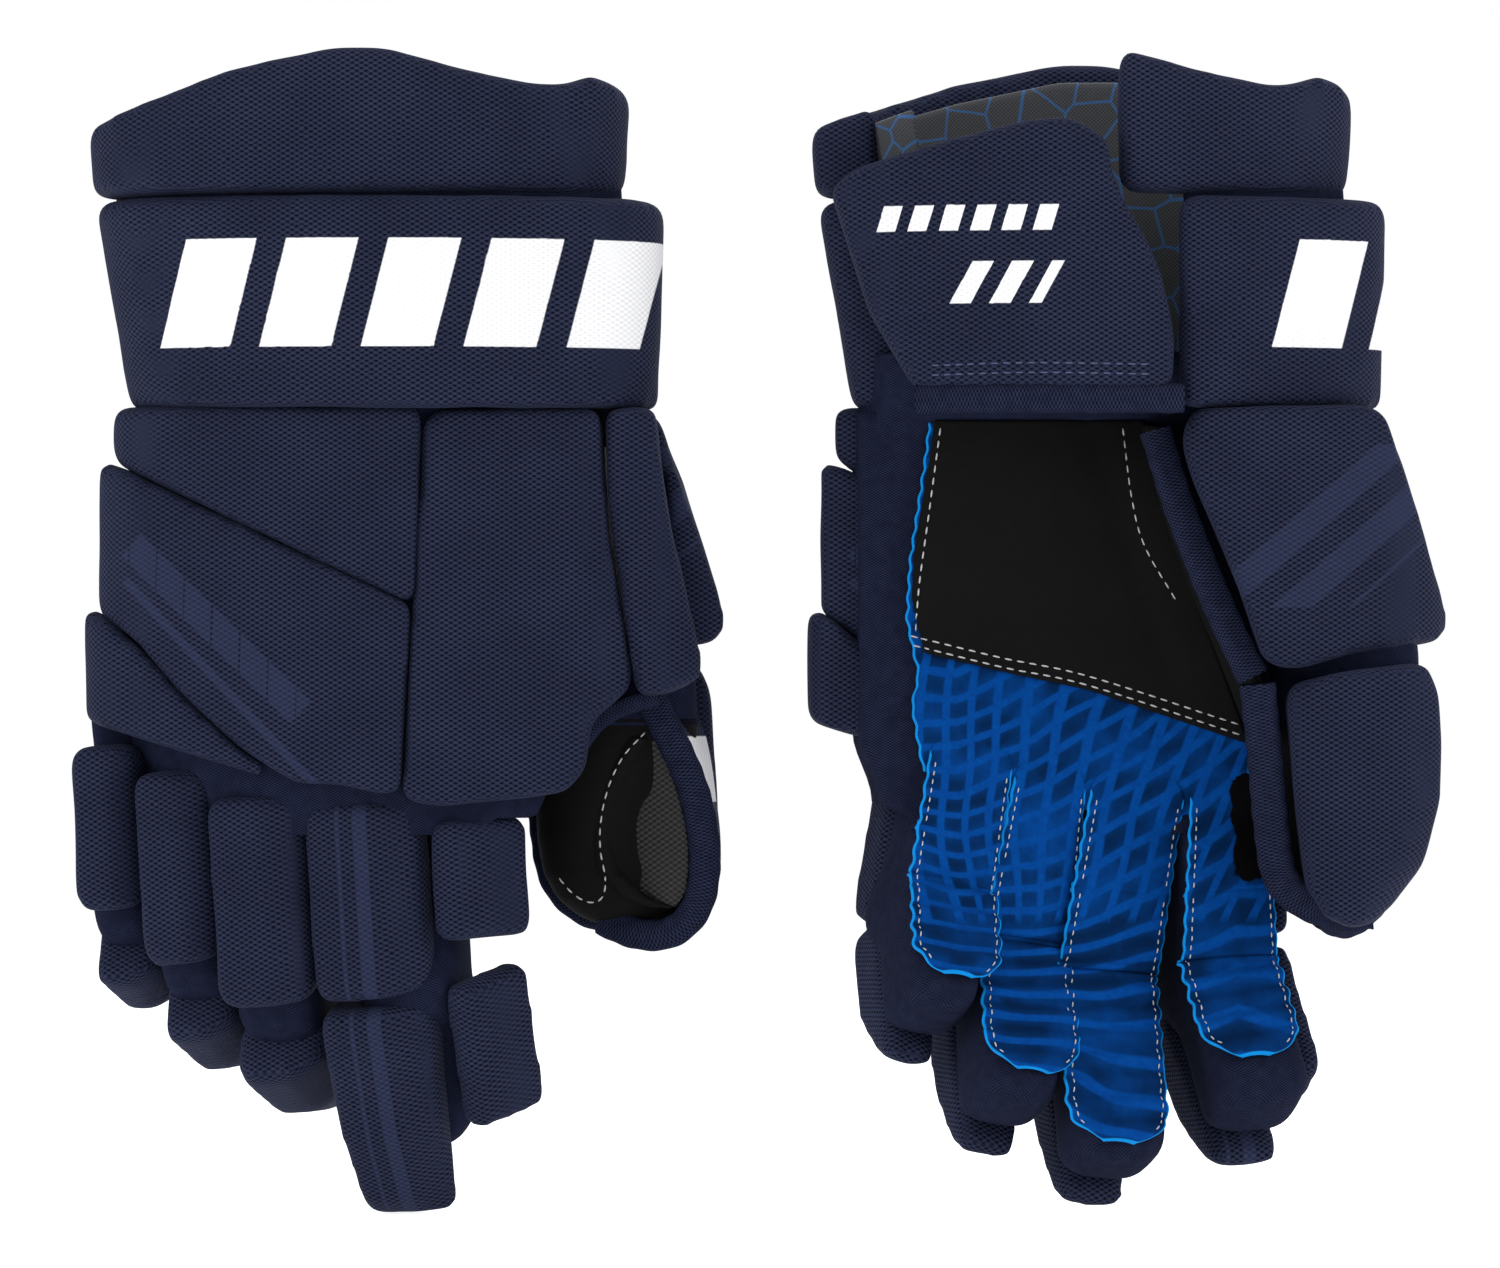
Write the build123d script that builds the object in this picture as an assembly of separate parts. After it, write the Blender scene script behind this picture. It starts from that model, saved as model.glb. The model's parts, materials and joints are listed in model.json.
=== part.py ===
from build123d import *
import os

# A pair of padded hockey gloves, hung fingers down: fingertips near z = 0, cuffs at the top.
# Each glove is drawn as the right-hand glove, with the back of the hand towards -Y, the palm
# towards +Y and the thumb towards +X. The left-hand glove is the same drawing mirrored in Y.
# Millimetres. The origin is the bottom centre of the pair's bounding box.

# Driving dimensions of the pair
GLOVE_SPACING = 222.0          # between the two gloves' own centre lines
PAIR_SHIFT = (0.794, 0.0, 0.49)  # from the drawing origin to the bounding box's bottom centre

# Cuff: an oval tube, wider at the top
CUFF_BOTTOM = 247.5
CUFF_BAND_TOP = 310.5
CUFF_ROLL_BOTTOM = 312.5
CUFF_TOP = 355.2
CUFF_DEPTH = 114.0             # of the band's top, palm side to back
CUFF_FLARE_X = 6.5             # how much the band's half width grows from its bottom to its top
CUFF_FLARE_Y = 7.0
BAND_WALL = 14.0
BAND_HALF_X = 80.5             # half width of the band's bottom
ROLL_WALL = 17.0
ROLL_CENTRE_X = -13.5
ROLL_HALF_X = 81.0
FLAP_WALL = 14.0
INSERT_THICKNESS = 2.0         # of the stiff plastic plates in the cuff and the thumb
INSERT_GAP = 0.8               # between a plate and the foam over it
INSERT_MARGIN = 6.0            # from the band's top and bottom to the plate's

# Back of the hand: pads laid on an oval
HAND_CENTRE_X = -9.0
MAIN_PAD_SIDE = -101.0         # the x that each pad's outer oval would reach on the little finger side
UPPER_PAD_SIDE = -88.5
MIDDLE_PAD_SIDE = -92.8
LOWER_PAD_SIDE = -97.0
SIDE_ROLL_HALF_X = 103.0
SIDE_ROLL_THICKNESS = 18.0
BACK_HEIGHT = 44.0             # from the glove's mid plane to the outside of the pads
PAD_THICKNESS = 16.0
SHELL_CENTRE_X = -12.0
SHELL_HALF_X = 64.0
SHELL_BOTTOM = 162.0
SHELL_TOP = 243.0
SHELL_WALL = 2.5
PALM_PLANE = 15.5              # inner face of the palm sheet
PALM_THICKNESS = 1.8
PATCH_THICKNESS = 1.4
CLEARANCE = 0.6

# Thumb
THUMB_OVAL_CENTRE = (32.0, -10.0)
THUMB_OVAL = (68.0, 58.0)
THUMB_PAD_THICKNESS = 16.0
THUMB_TIP_CENTRE = (68.0, 10.0)
THUMB_TIP_OVAL = (34.0, 38.0)
THUMB_TIP_BACK = 20.0          # the back face of the tip pad
THUMB_SLEEVE_BACK = -2.0
THUMB_SLEEVE_FRONT = 19.2
THUMB_SLEEVE_WALL = 2.0

# Fingers, in each finger's own axes: across, towards the palm, up the finger
FINGER_YAW = {"right": 12.0, "left": 20.0}  # the fingers' backs face slightly away from the thumb
ROLL_BACK = -49.0              # outer face of a finger roll, measured from the knuckle pivot
ROLL_THICKNESS = 21.0
SLEEVE_BACK = -27.0
SLEEVE_FRONT = 4.5
SLEEVE_WALL = 2.0
KNUCKLE_GAP = 3.0
MIDDLE_PIVOT_DEPTH = -20.0     # the middle joint turns inside the finger, not at the palm
MIDDLE_BEVEL = 21.0            # cut off the sleeve's palm side so that the middle joint can close

# Per glove and finger: knuckle pivot (x, y, z), roll width, sleeve offset across, lengths from
# knuckle to middle joint and on to the tip, and the resting hand shape in degrees: sideways fan,
# bend at the knuckle, bend at the middle joint
FIELDS = ("pivot", "width", "offset", "first", "second", "fan", "bend", "curl")
FINGERS = {
    "right": {
        "index": ((-3.0, 10.0, 127.5), 34.0, 12.0, 56.0, 71.0, 3, 3, 18),
        "middle": ((-35.5, 12.0, 129.0), 28.0, 0.0, 59.0, 63.0, 3, 3, 66),
        "ring": ((-61.0, 18.0, 136.5), 22.5, 0.0, 54.0, 60.0, 3, 3, 66),
        "little": ((-82.0, 26.0, 144.0), 19.5, 0.0, 45.0, 50.0, 2, 3, 66),
    },
    "left": {
        "index": ((30.0, 10.0, 126.8), 27.0, 0.0, 55.0, 58.0, 2, 5, 30),
        "middle": ((0.5, 12.0, 127.5), 26.0, 0.0, 58.0, 66.0, -6, 5, 20),
        "ring": ((-26.0, 18.0, 131.0), 24.0, 0.0, 53.0, 60.0, -10, 5, 24),
        "little": ((-49.5, 26.0, 138.0), 21.5, 0.0, 43.0, 49.0, -12, 5, 28),
    },
}
# The flat pads on the thumb side of the index finger: centre across and in depth, thickness, widths
# of the upper and the lower pad, turn
SIDE_PADS = {
    "right": (32.5, -28.5, 11.0, 31.0, 26.0, -40.0),
    "left": (18.4, -16.0, 8.0, 21.0, 21.0, 0.0),
}
SIDE_PAD_MARGIN = 14.0         # from the upper pad's bottom to the middle joint


def finger_size(side, finger):
    return dict(zip(FIELDS, FINGERS[side][finger]))


def prism(points, y_low=-80.0, y_high=80.0):
    """A solid with the given x-z outline, between two depths."""
    face = make_face(Polyline(*[(x, 0, z) for x, z in points], close=True))
    return Pos(0, y_low, 0) * extrude(face, amount=y_high - y_low, dir=(0, 1, 0))


def oval(centre, half_x, half_y, z_low, z_high):
    """An upright oval column."""
    sketch = Pos(centre[0], centre[1], z_low) * Ellipse(half_x, half_y)
    return extrude(sketch, amount=z_high - z_low)


def flared_oval(low, high, inset=0.0):
    """An upright oval column from (x, z, half_x, half_y) to another such section."""
    sections = []
    for x, z, half_x, half_y in (low, high):
        sections.append(Pos(x, 0, z) * Ellipse(half_x - inset, half_y - inset))
    return loft(sections)


def slab(x_low, x_high, y_low, y_high, z_low, z_high):
    """A box given by its limits."""
    box = Box(x_high - x_low, y_high - y_low, z_high - z_low, align=(Align.MIN, Align.MIN, Align.MIN))
    return Pos(x_low, y_low, z_low) * box


def soften(part, radius):
    """Round every edge of a pad, or the edges that can be rounded."""
    for trial in (radius, radius * 0.6):
        try:
            rounded = fillet(part.edges(), trial)
            if rounded.is_valid:
                return rounded
        except Exception:
            continue
    return part


# ---------------------------------------------------------------- cuff

def cuff_section(z):
    """Centre and half sizes of the cuff's outside at a height."""
    share = (z - CUFF_BOTTOM) / (CUFF_BAND_TOP - CUFF_BOTTOM)
    half_y = CUFF_DEPTH / 2 - CUFF_FLARE_Y * (1 - share)
    return (-2.5 - 4.5 * share, z, BAND_HALF_X + CUFF_FLARE_X * share, half_y)


def cuff_tube(z_low, z_high, outer, inner):
    """A length of cuff wall between two insets from the outside."""
    low = cuff_section(z_low)
    high = cuff_section(z_high)
    return flared_oval(low, high, outer) - flared_oval(low, high, inner)


def palmar_window(edge):
    """The space cut out of the cuff's palm side, away from the thumb."""
    return slab(-130, edge, 12.0, 90.0, 200, 380)


def cuff_band():
    band = cuff_tube(CUFF_BOTTOM, CUFF_BAND_TOP, 0, BAND_WALL)
    return band - palmar_window(15.5)


def cuff_top_roll():
    low = (ROLL_CENTRE_X, CUFF_ROLL_BOTTOM, ROLL_HALF_X, CUFF_DEPTH / 2 - 3)
    top = (ROLL_CENTRE_X, CUFF_TOP, ROLL_HALF_X + 3, CUFF_DEPTH / 2 - 1)
    tube = flared_oval(low, top) - flared_oval(low, top, ROLL_WALL)
    outline = [(-105, 305), (-105, 326), (-95, 333), (-51, 348.5), (-19, 355), (-5, 355),
               (23, 348), (42, 344.5), (50, 345), (58, 348), (66, 346), (72, 338), (76, 305)]
    return (tube & prism(outline)) - palmar_window(-3.0)


def cuff_insert():
    """The stiff plastic plate inside the band, behind the foam."""
    outer = BAND_WALL + INSERT_GAP
    inner = outer + INSERT_THICKNESS
    plate = cuff_tube(CUFF_BOTTOM + INSERT_MARGIN, CUFF_BAND_TOP - INSERT_MARGIN, outer, inner)
    return plate - palmar_window(40.0)


def cuff_flap():
    """The padded flap that closes the palm side of the cuff."""
    outline = [(-90, 314), (-81, 320), (-52, 328), (-30, 333), (-19, 334), (-8, 328), (-6, 317),
               (-2, 307), (4.5, 297), (9, 286), (12.5, 268), (12.5, 252), (-65, 253.5), (-78, 276)]
    low = (-2.5, CUFF_BOTTOM, 92.0, CUFF_DEPTH / 2 - 1)
    high = (-7.0, CUFF_TOP, 99.0, CUFF_DEPTH / 2 + 2)
    wall = flared_oval(low, high) - flared_oval(low, high, FLAP_WALL)
    return wall & prism(outline, 14.0, 90.0)


# ---------------------------------------------------------------- back of the hand

def back_pad(outline, left_edge, y_limit):
    """A pad with an x-z outline, lying on the oval back of the hand."""
    half = HAND_CENTRE_X - left_edge
    centre = (HAND_CENTRE_X, 0)
    outer = oval(centre, half, BACK_HEIGHT, 115, 255)
    inner = oval((SHELL_CENTRE_X, 0), SHELL_HALF_X + CLEARANCE, BACK_HEIGHT - PAD_THICKNESS, 114, 256)
    return (outer - inner) & prism(outline, -80, y_limit)


def back_upper_pad():
    outline = [(-100, 236), (-100, 243.5), (4.5, 243.5), (6.5, 241), (4.5, 188.5), (1.5, 189), (-88, 231)]
    return back_pad(outline, UPPER_PAD_SIDE, 6.0)


def back_middle_pad():
    outline = [(-105, 234.5), (-86, 228.4), (2, 187.3), (3.2, 186.5), (0.2, 131.5), (-3, 130),
               (-19, 133), (-31, 133.3), (-49, 144.5), (-65, 159.5), (-81, 176.5), (-105, 194)]
    return back_pad(outline, MIDDLE_PAD_SIDE, 8.0)


def back_lower_pad():
    outline = [(-110, 194), (-90.7, 182.4), (-80, 173.6), (-65, 157.5), (-49, 142.5), (-36, 134),
               (-65, 142.5), (-94, 151), (-110, 153)]
    return back_pad(outline, LOWER_PAD_SIDE, 12.0)


def back_main_pad():
    outline = [(8.2, 239), (12, 242), (59, 243), (61, 240), (63, 210.5), (69.8, 168), (69.5, 162),
               (58, 152), (56, 137.5), (50, 130.5), (29, 127.8), (13, 126.5), (2.5, 127.5),
               (2, 131), (5, 187.5)]
    return back_pad(outline, MAIN_PAD_SIDE, -10.0)


def side_roll():
    """The roll along the edge of the hand, between the main pad and the thumb."""
    outline = [(63, 242.5), (77, 243.5), (82, 210), (92, 170), (91, 164), (81, 160), (72.5, 159.5),
               (71.7, 168), (65, 210.5)]
    half_y = BACK_HEIGHT - 1
    centre = (HAND_CENTRE_X, 0)
    outer = oval(centre, SIDE_ROLL_HALF_X, half_y, 120, 255)
    inner = oval(centre, SIDE_ROLL_HALF_X - SIDE_ROLL_THICKNESS, half_y - SIDE_ROLL_THICKNESS + 2, 119, 256)
    return (outer - inner) & prism(outline, -60, -6.5)


def hand_shell():
    """The lining of the hand: an open tube the pads and palm are sewn to."""
    half_y = BACK_HEIGHT - PAD_THICKNESS - CLEARANCE
    centre = (SHELL_CENTRE_X, 0)
    outer = oval(centre, SHELL_HALF_X, half_y, SHELL_BOTTOM, SHELL_TOP)
    inner = oval(centre, SHELL_HALF_X - SHELL_WALL, half_y - SHELL_WALL, SHELL_BOTTOM - 1, SHELL_TOP + 1)
    return (outer - inner) & slab(-120, 120, -60, PALM_PLANE - CLEARANCE, SHELL_BOTTOM, SHELL_TOP)


def palm():
    outline = [(-60, 243), (-66, 197), (-67, 178), (-65, 151), (-44, 147), (-42, 140), (-18, 137),
               (-16, 136), (41, 136), (36, 160), (24, 187), (14, 216), (6, 243)]
    return prism(outline, PALM_PLANE, PALM_PLANE + PALM_THICKNESS)


def palm_patch():
    outline = [(-58.5, 241.5), (-66, 197), (-66.5, 176.5), (-12, 165), (37, 149.5), (35, 160),
               (23, 187), (13, 216), (5.5, 241.5)]
    low = PALM_PLANE + PALM_THICKNESS + 0.2
    return prism(outline, low, low + PATCH_THICKNESS)


# ---------------------------------------------------------------- thumb

def thumb_shell(inset, thickness, y_low):
    """A layer of the thumb's curved outside."""
    half_x = THUMB_OVAL[0] - inset
    half_y = THUMB_OVAL[1] - inset
    outer = oval(THUMB_OVAL_CENTRE, half_x, half_y, 80, 260)
    inner = oval(THUMB_OVAL_CENTRE, half_x - thickness, half_y - thickness, 79, 261)
    return (outer - inner) & slab(-40, 140, y_low, 80, 80, 260)


def thumb_upper_pad():
    outline = [(16, 236), (20, 242), (41, 243.2), (72, 243.8), (78, 241), (84, 227.7), (97.4, 187.8),
               (99.6, 181), (95, 176), (66.4, 172.5), (52, 168.5), (45, 168.5), (41, 171), (34, 191.5),
               (22, 220.4)]
    return thumb_shell(0, THUMB_PAD_THICKNESS, 0.0) & prism(outline)


def thumb_insert():
    """The stiff plastic strip under the thumb's upper pad."""
    outline = [(28, 236), (70, 236), (82, 200), (88, 180), (52, 176), (44, 178), (38, 194)]
    return thumb_shell(THUMB_PAD_THICKNESS + INSERT_GAP, INSERT_THICKNESS, 4.0) & prism(outline)


def thumb_tip_pad():
    """The big rounded pad over the end of the thumb."""
    outline = [(48, 162), (66, 166), (90, 169), (94, 160), (96, 126), (97.5, 106), (95, 94), (88, 87),
               (76, 85.5), (62, 89), (54.5, 99), (51, 127)]
    outer = oval(THUMB_TIP_CENTRE, *THUMB_TIP_OVAL, 80, 175)
    return soften(outer & prism(outline, THUMB_TIP_BACK, 60.0), 4.0)


def thumb_sleeve():
    """The suede tube around the end of the thumb, closed at the tip."""
    outline = [(57, 156), (90, 158), (93, 126), (94.5, 104), (88, 90), (76, 88.5), (63, 92), (58.5, 101),
               (57, 127)]
    inner = [(59, 170), (88, 170), (91, 126), (92, 105), (86.5, 93), (76, 91.5), (64.5, 94.5), (60.5, 102),
             (59, 127)]
    tube = prism(outline, THUMB_SLEEVE_BACK, THUMB_SLEEVE_FRONT)
    hollow = prism(inner, THUMB_SLEEVE_BACK + THUMB_SLEEVE_WALL, THUMB_SLEEVE_FRONT - THUMB_SLEEVE_WALL)
    bevel = side_outline([(-3, 136), (-3, 170), (22, 170), (22, 156)], 40, 110)
    return tube - hollow - bevel


# ---------------------------------------------------------------- fingers

def knuckle_frame(side, finger):
    """The frame of a finger's first length at rest, at its knuckle pivot."""
    size = finger_size(side, finger)
    turned = Pos(*size["pivot"]) * Rot(0, 0, -FINGER_YAW[side])
    return turned * Rot(0, -size["fan"], 0) * Rot(size["bend"], 0, 0)


def middle_pivot_frame(side, finger):
    """The frame of a finger's second length at rest, at its middle pivot."""
    size = finger_size(side, finger)
    to_pivot = Pos(0, MIDDLE_PIVOT_DEPTH, -size["first"])
    return knuckle_frame(side, finger) * to_pivot * Rot(size["curl"], 0, 0)


def middle_frame(side, finger):
    """The same frame, moved back to the finger's palm-side line."""
    return middle_pivot_frame(side, finger) * Pos(0, -MIDDLE_PIVOT_DEPTH, 0)


def side_outline(points, x_low, x_high):
    """A solid across the finger with a y-z outline."""
    face = make_face(Polyline(*[(0, y, z) for y, z in points], close=True))
    return Pos(x_low, 0, 0) * extrude(face, amount=x_high - x_low, dir=(1, 0, 0))


def proximal_roll(size):
    half = size["width"] / 2
    length = size["first"]
    front = ROLL_BACK + ROLL_THICKNESS
    roll = slab(-half, half, ROLL_BACK, front, -length + KNUCKLE_GAP, -KNUCKLE_GAP)
    return soften(roll, 4.0)


def proximal_sleeve(size):
    offset = size["offset"]
    half = min(12.5, size["width"] / 2)
    top = -KNUCKLE_GAP
    bottom = -size["first"] + KNUCKLE_GAP
    outer = slab(offset - half, offset + half, SLEEVE_BACK, SLEEVE_FRONT, bottom, top)
    hole = slab(offset - half + SLEEVE_WALL, offset + half - SLEEVE_WALL, SLEEVE_BACK + SLEEVE_WALL,
                SLEEVE_FRONT - SLEEVE_WALL, bottom - 1, top + 1)
    bevel = side_outline([(MIDDLE_PIVOT_DEPTH + 3, bottom - 1), (SLEEVE_FRONT + 1, bottom - 1),
                          (SLEEVE_FRONT + 1, bottom + MIDDLE_BEVEL)], -40, 60)
    return outer - hole - bevel


def distal(size):
    """The second length: the padded roll and the fabric tip."""
    length = size["second"]
    half = size["width"] / 2
    front = ROLL_BACK + ROLL_THICKNESS
    section = [(front, -KNUCKLE_GAP), (ROLL_BACK, -KNUCKLE_GAP - 1), (ROLL_BACK + 1, -length * 0.55),
               (ROLL_BACK + 9, -length + 7), (ROLL_BACK + 16, -length), (front, -length)]
    roll = side_outline(section, -half, half)
    taper = prism([(-half, 0), (half, 0), (half - 3.5, -length - 1), (-half + 3.5, -length - 1)])
    return soften(roll & taper, 3.5), tip_sleeve(size)


def tip_sleeve(size):
    """The hollow fabric tip of a finger, bevelled where the middle joint closes."""
    length = size["second"]
    offset = size["offset"]
    half = min(12.0, size["width"] / 2)
    wall = SLEEVE_WALL
    outer = [(SLEEVE_BACK, -KNUCKLE_GAP), (MIDDLE_PIVOT_DEPTH + 3, -KNUCKLE_GAP),
             (SLEEVE_FRONT, -MIDDLE_BEVEL), (SLEEVE_FRONT, -length + 22), (-4, -length + 9),
             (-16, -length + 3), (SLEEVE_BACK, -length + 3)]
    inner = [(SLEEVE_BACK + wall, 1), (MIDDLE_PIVOT_DEPTH + 1, 1),
             (SLEEVE_FRONT - wall, -MIDDLE_BEVEL - wall), (SLEEVE_FRONT - wall, -length + 24),
             (-6, -length + 12), (SLEEVE_BACK + wall, -length + 6)]
    tip = side_outline(outer, offset - half, offset + half)
    return tip - side_outline(inner, offset - half + wall, offset + half - wall)


def index_side_pad(side, lower, low, high):
    """A flat pad on the thumb side of the index finger, between two heights."""
    across, depth, thickness, upper_width, lower_width, turn = SIDE_PADS[side]
    width = lower_width if lower else upper_width
    pad = Box(thickness, width, high - low)
    return Pos(across, depth, (low + high) / 2) * Rot(0, 0, turn) * soften(pad, 3.0)


# ---------------------------------------------------------------- assembly

def hand_nodes():
    """The nodes that are the same in both gloves before the fingers are bent."""
    return {
        "hand_shell": hand_shell(),
        "palm": palm(),
        "palm_patch": palm_patch(),
        "back_upper_pad": back_upper_pad(),
        "back_middle_pad": back_middle_pad(),
        "back_lower_pad": back_lower_pad(),
        "back_main_pad": back_main_pad(),
        "side_roll": side_roll(),
        "cuff_top_roll": cuff_top_roll(),
        "cuff_band": cuff_band(),
        "cuff_flap": cuff_flap(),
        "cuff_insert": cuff_insert(),
        "thumb_upper_pad": thumb_upper_pad(),
        "thumb_tip_pad": thumb_tip_pad(),
        "thumb_insert": thumb_insert(),
        "thumb_sleeve": thumb_sleeve(),
    }


def finger_nodes(side):
    """Every finger's nodes in one glove's resting hand shape."""
    nodes = {}
    for finger in FINGERS[side]:
        size = finger_size(side, finger)
        near = knuckle_frame(side, finger)
        far = middle_frame(side, finger)
        nodes[finger + "_proximal_roll"] = near * proximal_roll(size)
        nodes[finger + "_proximal_sleeve"] = near * proximal_sleeve(size)
        roll, tip = distal(size)
        nodes[finger + "_distal"] = Compound(children=[*(far * roll).solids(), *(far * tip).solids()])
    first = finger_size(side, "index")["first"]
    upper_pad = index_side_pad(side, False, SIDE_PAD_MARGIN - first, -6)
    nodes["index_side_pad_upper"] = knuckle_frame(side, "index") * upper_pad
    nodes["index_side_pad_lower"] = middle_frame(side, "index") * index_side_pad(side, True, -41, 5)
    return nodes


def place(part, side):
    """Move a node from the glove's own drawing to its place in the pair."""
    spacing = GLOVE_SPACING / 2
    if side == "left":
        part = mirror(part, about=Plane.XZ)
    x = -spacing if side == "right" else spacing
    dx, dy, dz = PAIR_SHIFT
    return Pos(x + dx, dy, dz) * part


def build():
    os.makedirs("parts", exist_ok=True)
    common = hand_nodes()
    for side in ("right", "left"):
        nodes = dict(common)
        nodes.update(finger_nodes(side))
        for name, part in nodes.items():
            placed = place(part, side)
            solids = placed.solids()
            out = solids[0] if len(solids) == 1 else Compound(children=list(solids))
            export_step(out, "parts/" + side + "_" + name + ".step")


build()
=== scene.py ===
import json
import math

import bpy
import numpy as np
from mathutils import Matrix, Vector, noise
from mathutils.bvhtree import BVHTree


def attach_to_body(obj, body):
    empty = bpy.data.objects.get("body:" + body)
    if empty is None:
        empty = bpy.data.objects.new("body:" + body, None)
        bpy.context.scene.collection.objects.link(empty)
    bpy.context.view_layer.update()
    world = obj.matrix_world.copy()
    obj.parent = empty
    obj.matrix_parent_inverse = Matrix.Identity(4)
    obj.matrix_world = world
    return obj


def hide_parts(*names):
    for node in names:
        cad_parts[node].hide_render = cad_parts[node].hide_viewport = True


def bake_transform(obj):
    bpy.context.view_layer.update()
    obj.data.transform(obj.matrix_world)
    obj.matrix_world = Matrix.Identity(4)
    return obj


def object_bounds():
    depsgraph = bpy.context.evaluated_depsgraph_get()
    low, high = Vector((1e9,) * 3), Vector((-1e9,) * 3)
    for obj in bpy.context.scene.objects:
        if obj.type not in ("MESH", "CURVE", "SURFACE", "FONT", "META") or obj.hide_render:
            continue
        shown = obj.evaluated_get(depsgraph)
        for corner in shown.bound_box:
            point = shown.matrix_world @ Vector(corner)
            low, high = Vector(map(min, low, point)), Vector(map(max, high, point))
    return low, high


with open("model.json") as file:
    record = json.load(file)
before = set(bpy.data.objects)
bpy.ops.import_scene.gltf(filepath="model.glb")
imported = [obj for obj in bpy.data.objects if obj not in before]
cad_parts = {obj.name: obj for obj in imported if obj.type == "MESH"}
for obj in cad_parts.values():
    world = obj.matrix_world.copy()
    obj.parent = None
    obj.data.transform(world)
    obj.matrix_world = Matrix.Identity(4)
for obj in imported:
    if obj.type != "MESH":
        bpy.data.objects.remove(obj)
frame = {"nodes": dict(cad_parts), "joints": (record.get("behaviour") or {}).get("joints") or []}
CAD_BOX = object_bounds()
JOINTS = {joint["name"]: joint for joint in frame["joints"]}

# Shapes are drawn in millimetres, in one glove's own drawing: the back of the hand towards -y,
# the thumb towards +x, the fingers down. The left glove is the same drawing mirrored in y.
MM = 0.001
SIDES = ("right", "left")
FINGERS = ("index", "middle", "ring", "little")
WRIST_PIVOT = np.array([-5.0, -49.0, 245.6])  # where each glove's wrist_fold joint is in the drawing
MIDDLE_DEPTH = -20.0  # the middle finger joints turn this far behind the palm-side line


# ---------------------------------------------------------------- the two gloves' drawings

class Glove:
    """Turns drawing millimetres into the frame's metres, and back, for one glove."""

    def __init__(self, side):
        self.side = side
        self.flip = np.array([1.0, -1.0 if side == "left" else 1.0, 1.0])
        pivot = np.array(JOINTS[side + "_wrist_fold"]["pos_m"])
        self.origin = pivot - WRIST_PIVOT * self.flip * MM

    def world(self, points):
        """Frame metres from drawing points."""
        return np.asarray(points, float) * self.flip * MM + self.origin

    def drawing(self, points):
        """Drawing points from frame metres."""
        return (np.asarray(points, float) - self.origin) * self.flip / MM

    def name(self, part):
        return self.side + "_" + part

    def taper(self, points):
        """The left glove's thumb is seen narrowing towards its end; the right one's isn't."""
        points = np.array(points, float)
        if self.side == "left":
            x, z = points[..., 0], points[..., 2]
            keep = np.interp(z, [84.0, 91.0, 98.0, 109.0, 127.0, 145.0], [0.50, 0.56, 0.64, 0.80, 0.96, 1.0])
            points[..., 0] = np.where(x > 58.0, 58.0 + (x - 58.0) * keep, x)
            points[..., 2] = z + 4.0 * np.clip((108.0 - z) / 22.0, 0.0, 1.0)
        return points


class Finger:
    """The resting centre line of one finger, read from its two joints."""

    def __init__(self, glove, finger):
        knuckle = JOINTS[glove.name(finger + "_knuckle")]
        middle = JOINTS[glove.name(finger + "_middle")]
        self.knuckle = glove.drawing(knuckle["pos_m"])
        self.middle = glove.drawing(middle["pos_m"])
        axis = np.array(knuckle["axis"])
        across = axis if glove.side == "right" else axis * [-1.0, 1.0, -1.0]
        reach = self.knuckle - self.middle
        self.first = math.sqrt(reach @ reach - MIDDLE_DEPTH ** 2)
        tilt = math.atan2(-MIDDLE_DEPTH, self.first)
        reach = reach / np.linalg.norm(reach)
        beside = np.cross(reach, across)
        up = math.cos(tilt) * reach - math.sin(tilt) * beside
        front = math.sin(tilt) * reach + math.cos(tilt) * beside
        self.curl = math.radians(-middle["range_deg"][0])
        self.near = np.array([across, front, up])
        self.far = np.array([across, math.cos(self.curl) * front + math.sin(self.curl) * up,
                             math.cos(self.curl) * up - math.sin(self.curl) * front])
        self.glove = glove
        self.key = finger

    def lower(self, across, front, down):
        """Drawing points on the finger's second length."""
        local = np.stack(np.broadcast_arrays(across, front - MIDDLE_DEPTH, self.first - down), -1)
        return self.middle + local @ self.far

    def point(self, across, front, down, reach=10.0):
        """Drawing points at a distance down the finger from its knuckle pivot."""
        across, front, down = np.broadcast_arrays(across, front, down)
        local = np.stack([across, front, -down], -1)
        upper = self.knuckle + local @ self.near
        share = np.clip((down - self.first + reach) / (2.0 * reach), 0.0, 1.0)[..., None]
        share = share * share * (3.0 - 2.0 * share)
        return upper * (1.0 - share) + self.lower(across, front, down) * share


# ---------------------------------------------------------------- mesh helpers

def mesh_arrays(thing):
    """Vertices and faces of an object with its modifiers applied."""
    graph = bpy.context.evaluated_depsgraph_get()
    shown = thing.evaluated_get(graph)
    mesh = shown.to_mesh()
    verts = points_of(mesh)
    faces = [tuple(face.vertices) for face in mesh.polygons]
    shown.to_mesh_clear()
    return verts, faces


def points_of(mesh):
    """A mesh's own points, without modifiers."""
    verts = np.empty(len(mesh.vertices) * 3)
    mesh.vertices.foreach_get("co", verts)
    return verts.reshape(-1, 3)


def new_object(name, verts, faces):
    """An object with a new mesh, in the scene."""
    mesh = bpy.data.meshes.new(name)
    mesh.from_pydata([tuple(v) for v in verts], [], faces)
    mesh.validate()
    thing = bpy.data.objects.new(name, mesh)
    bpy.context.scene.collection.objects.link(thing)
    return thing


def drop(thing):
    """Remove an object and its mesh."""
    mesh = thing.data
    bpy.data.objects.remove(thing)
    bpy.data.meshes.remove(mesh)


def vertex_normals(mesh):
    normals = np.empty(len(mesh.vertices) * 3, np.float32)
    mesh.vertex_normals.foreach_get("vector", normals)
    return normals.reshape(-1, 3)


def store(mesh, name, values):
    """Keep a vector for each point, for the materials to read."""
    attribute = mesh.attributes.get(name) or mesh.attributes.new(name, "FLOAT_VECTOR", "POINT")
    attribute.data.foreach_set("vector", np.asarray(values, np.float32).ravel())


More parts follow.
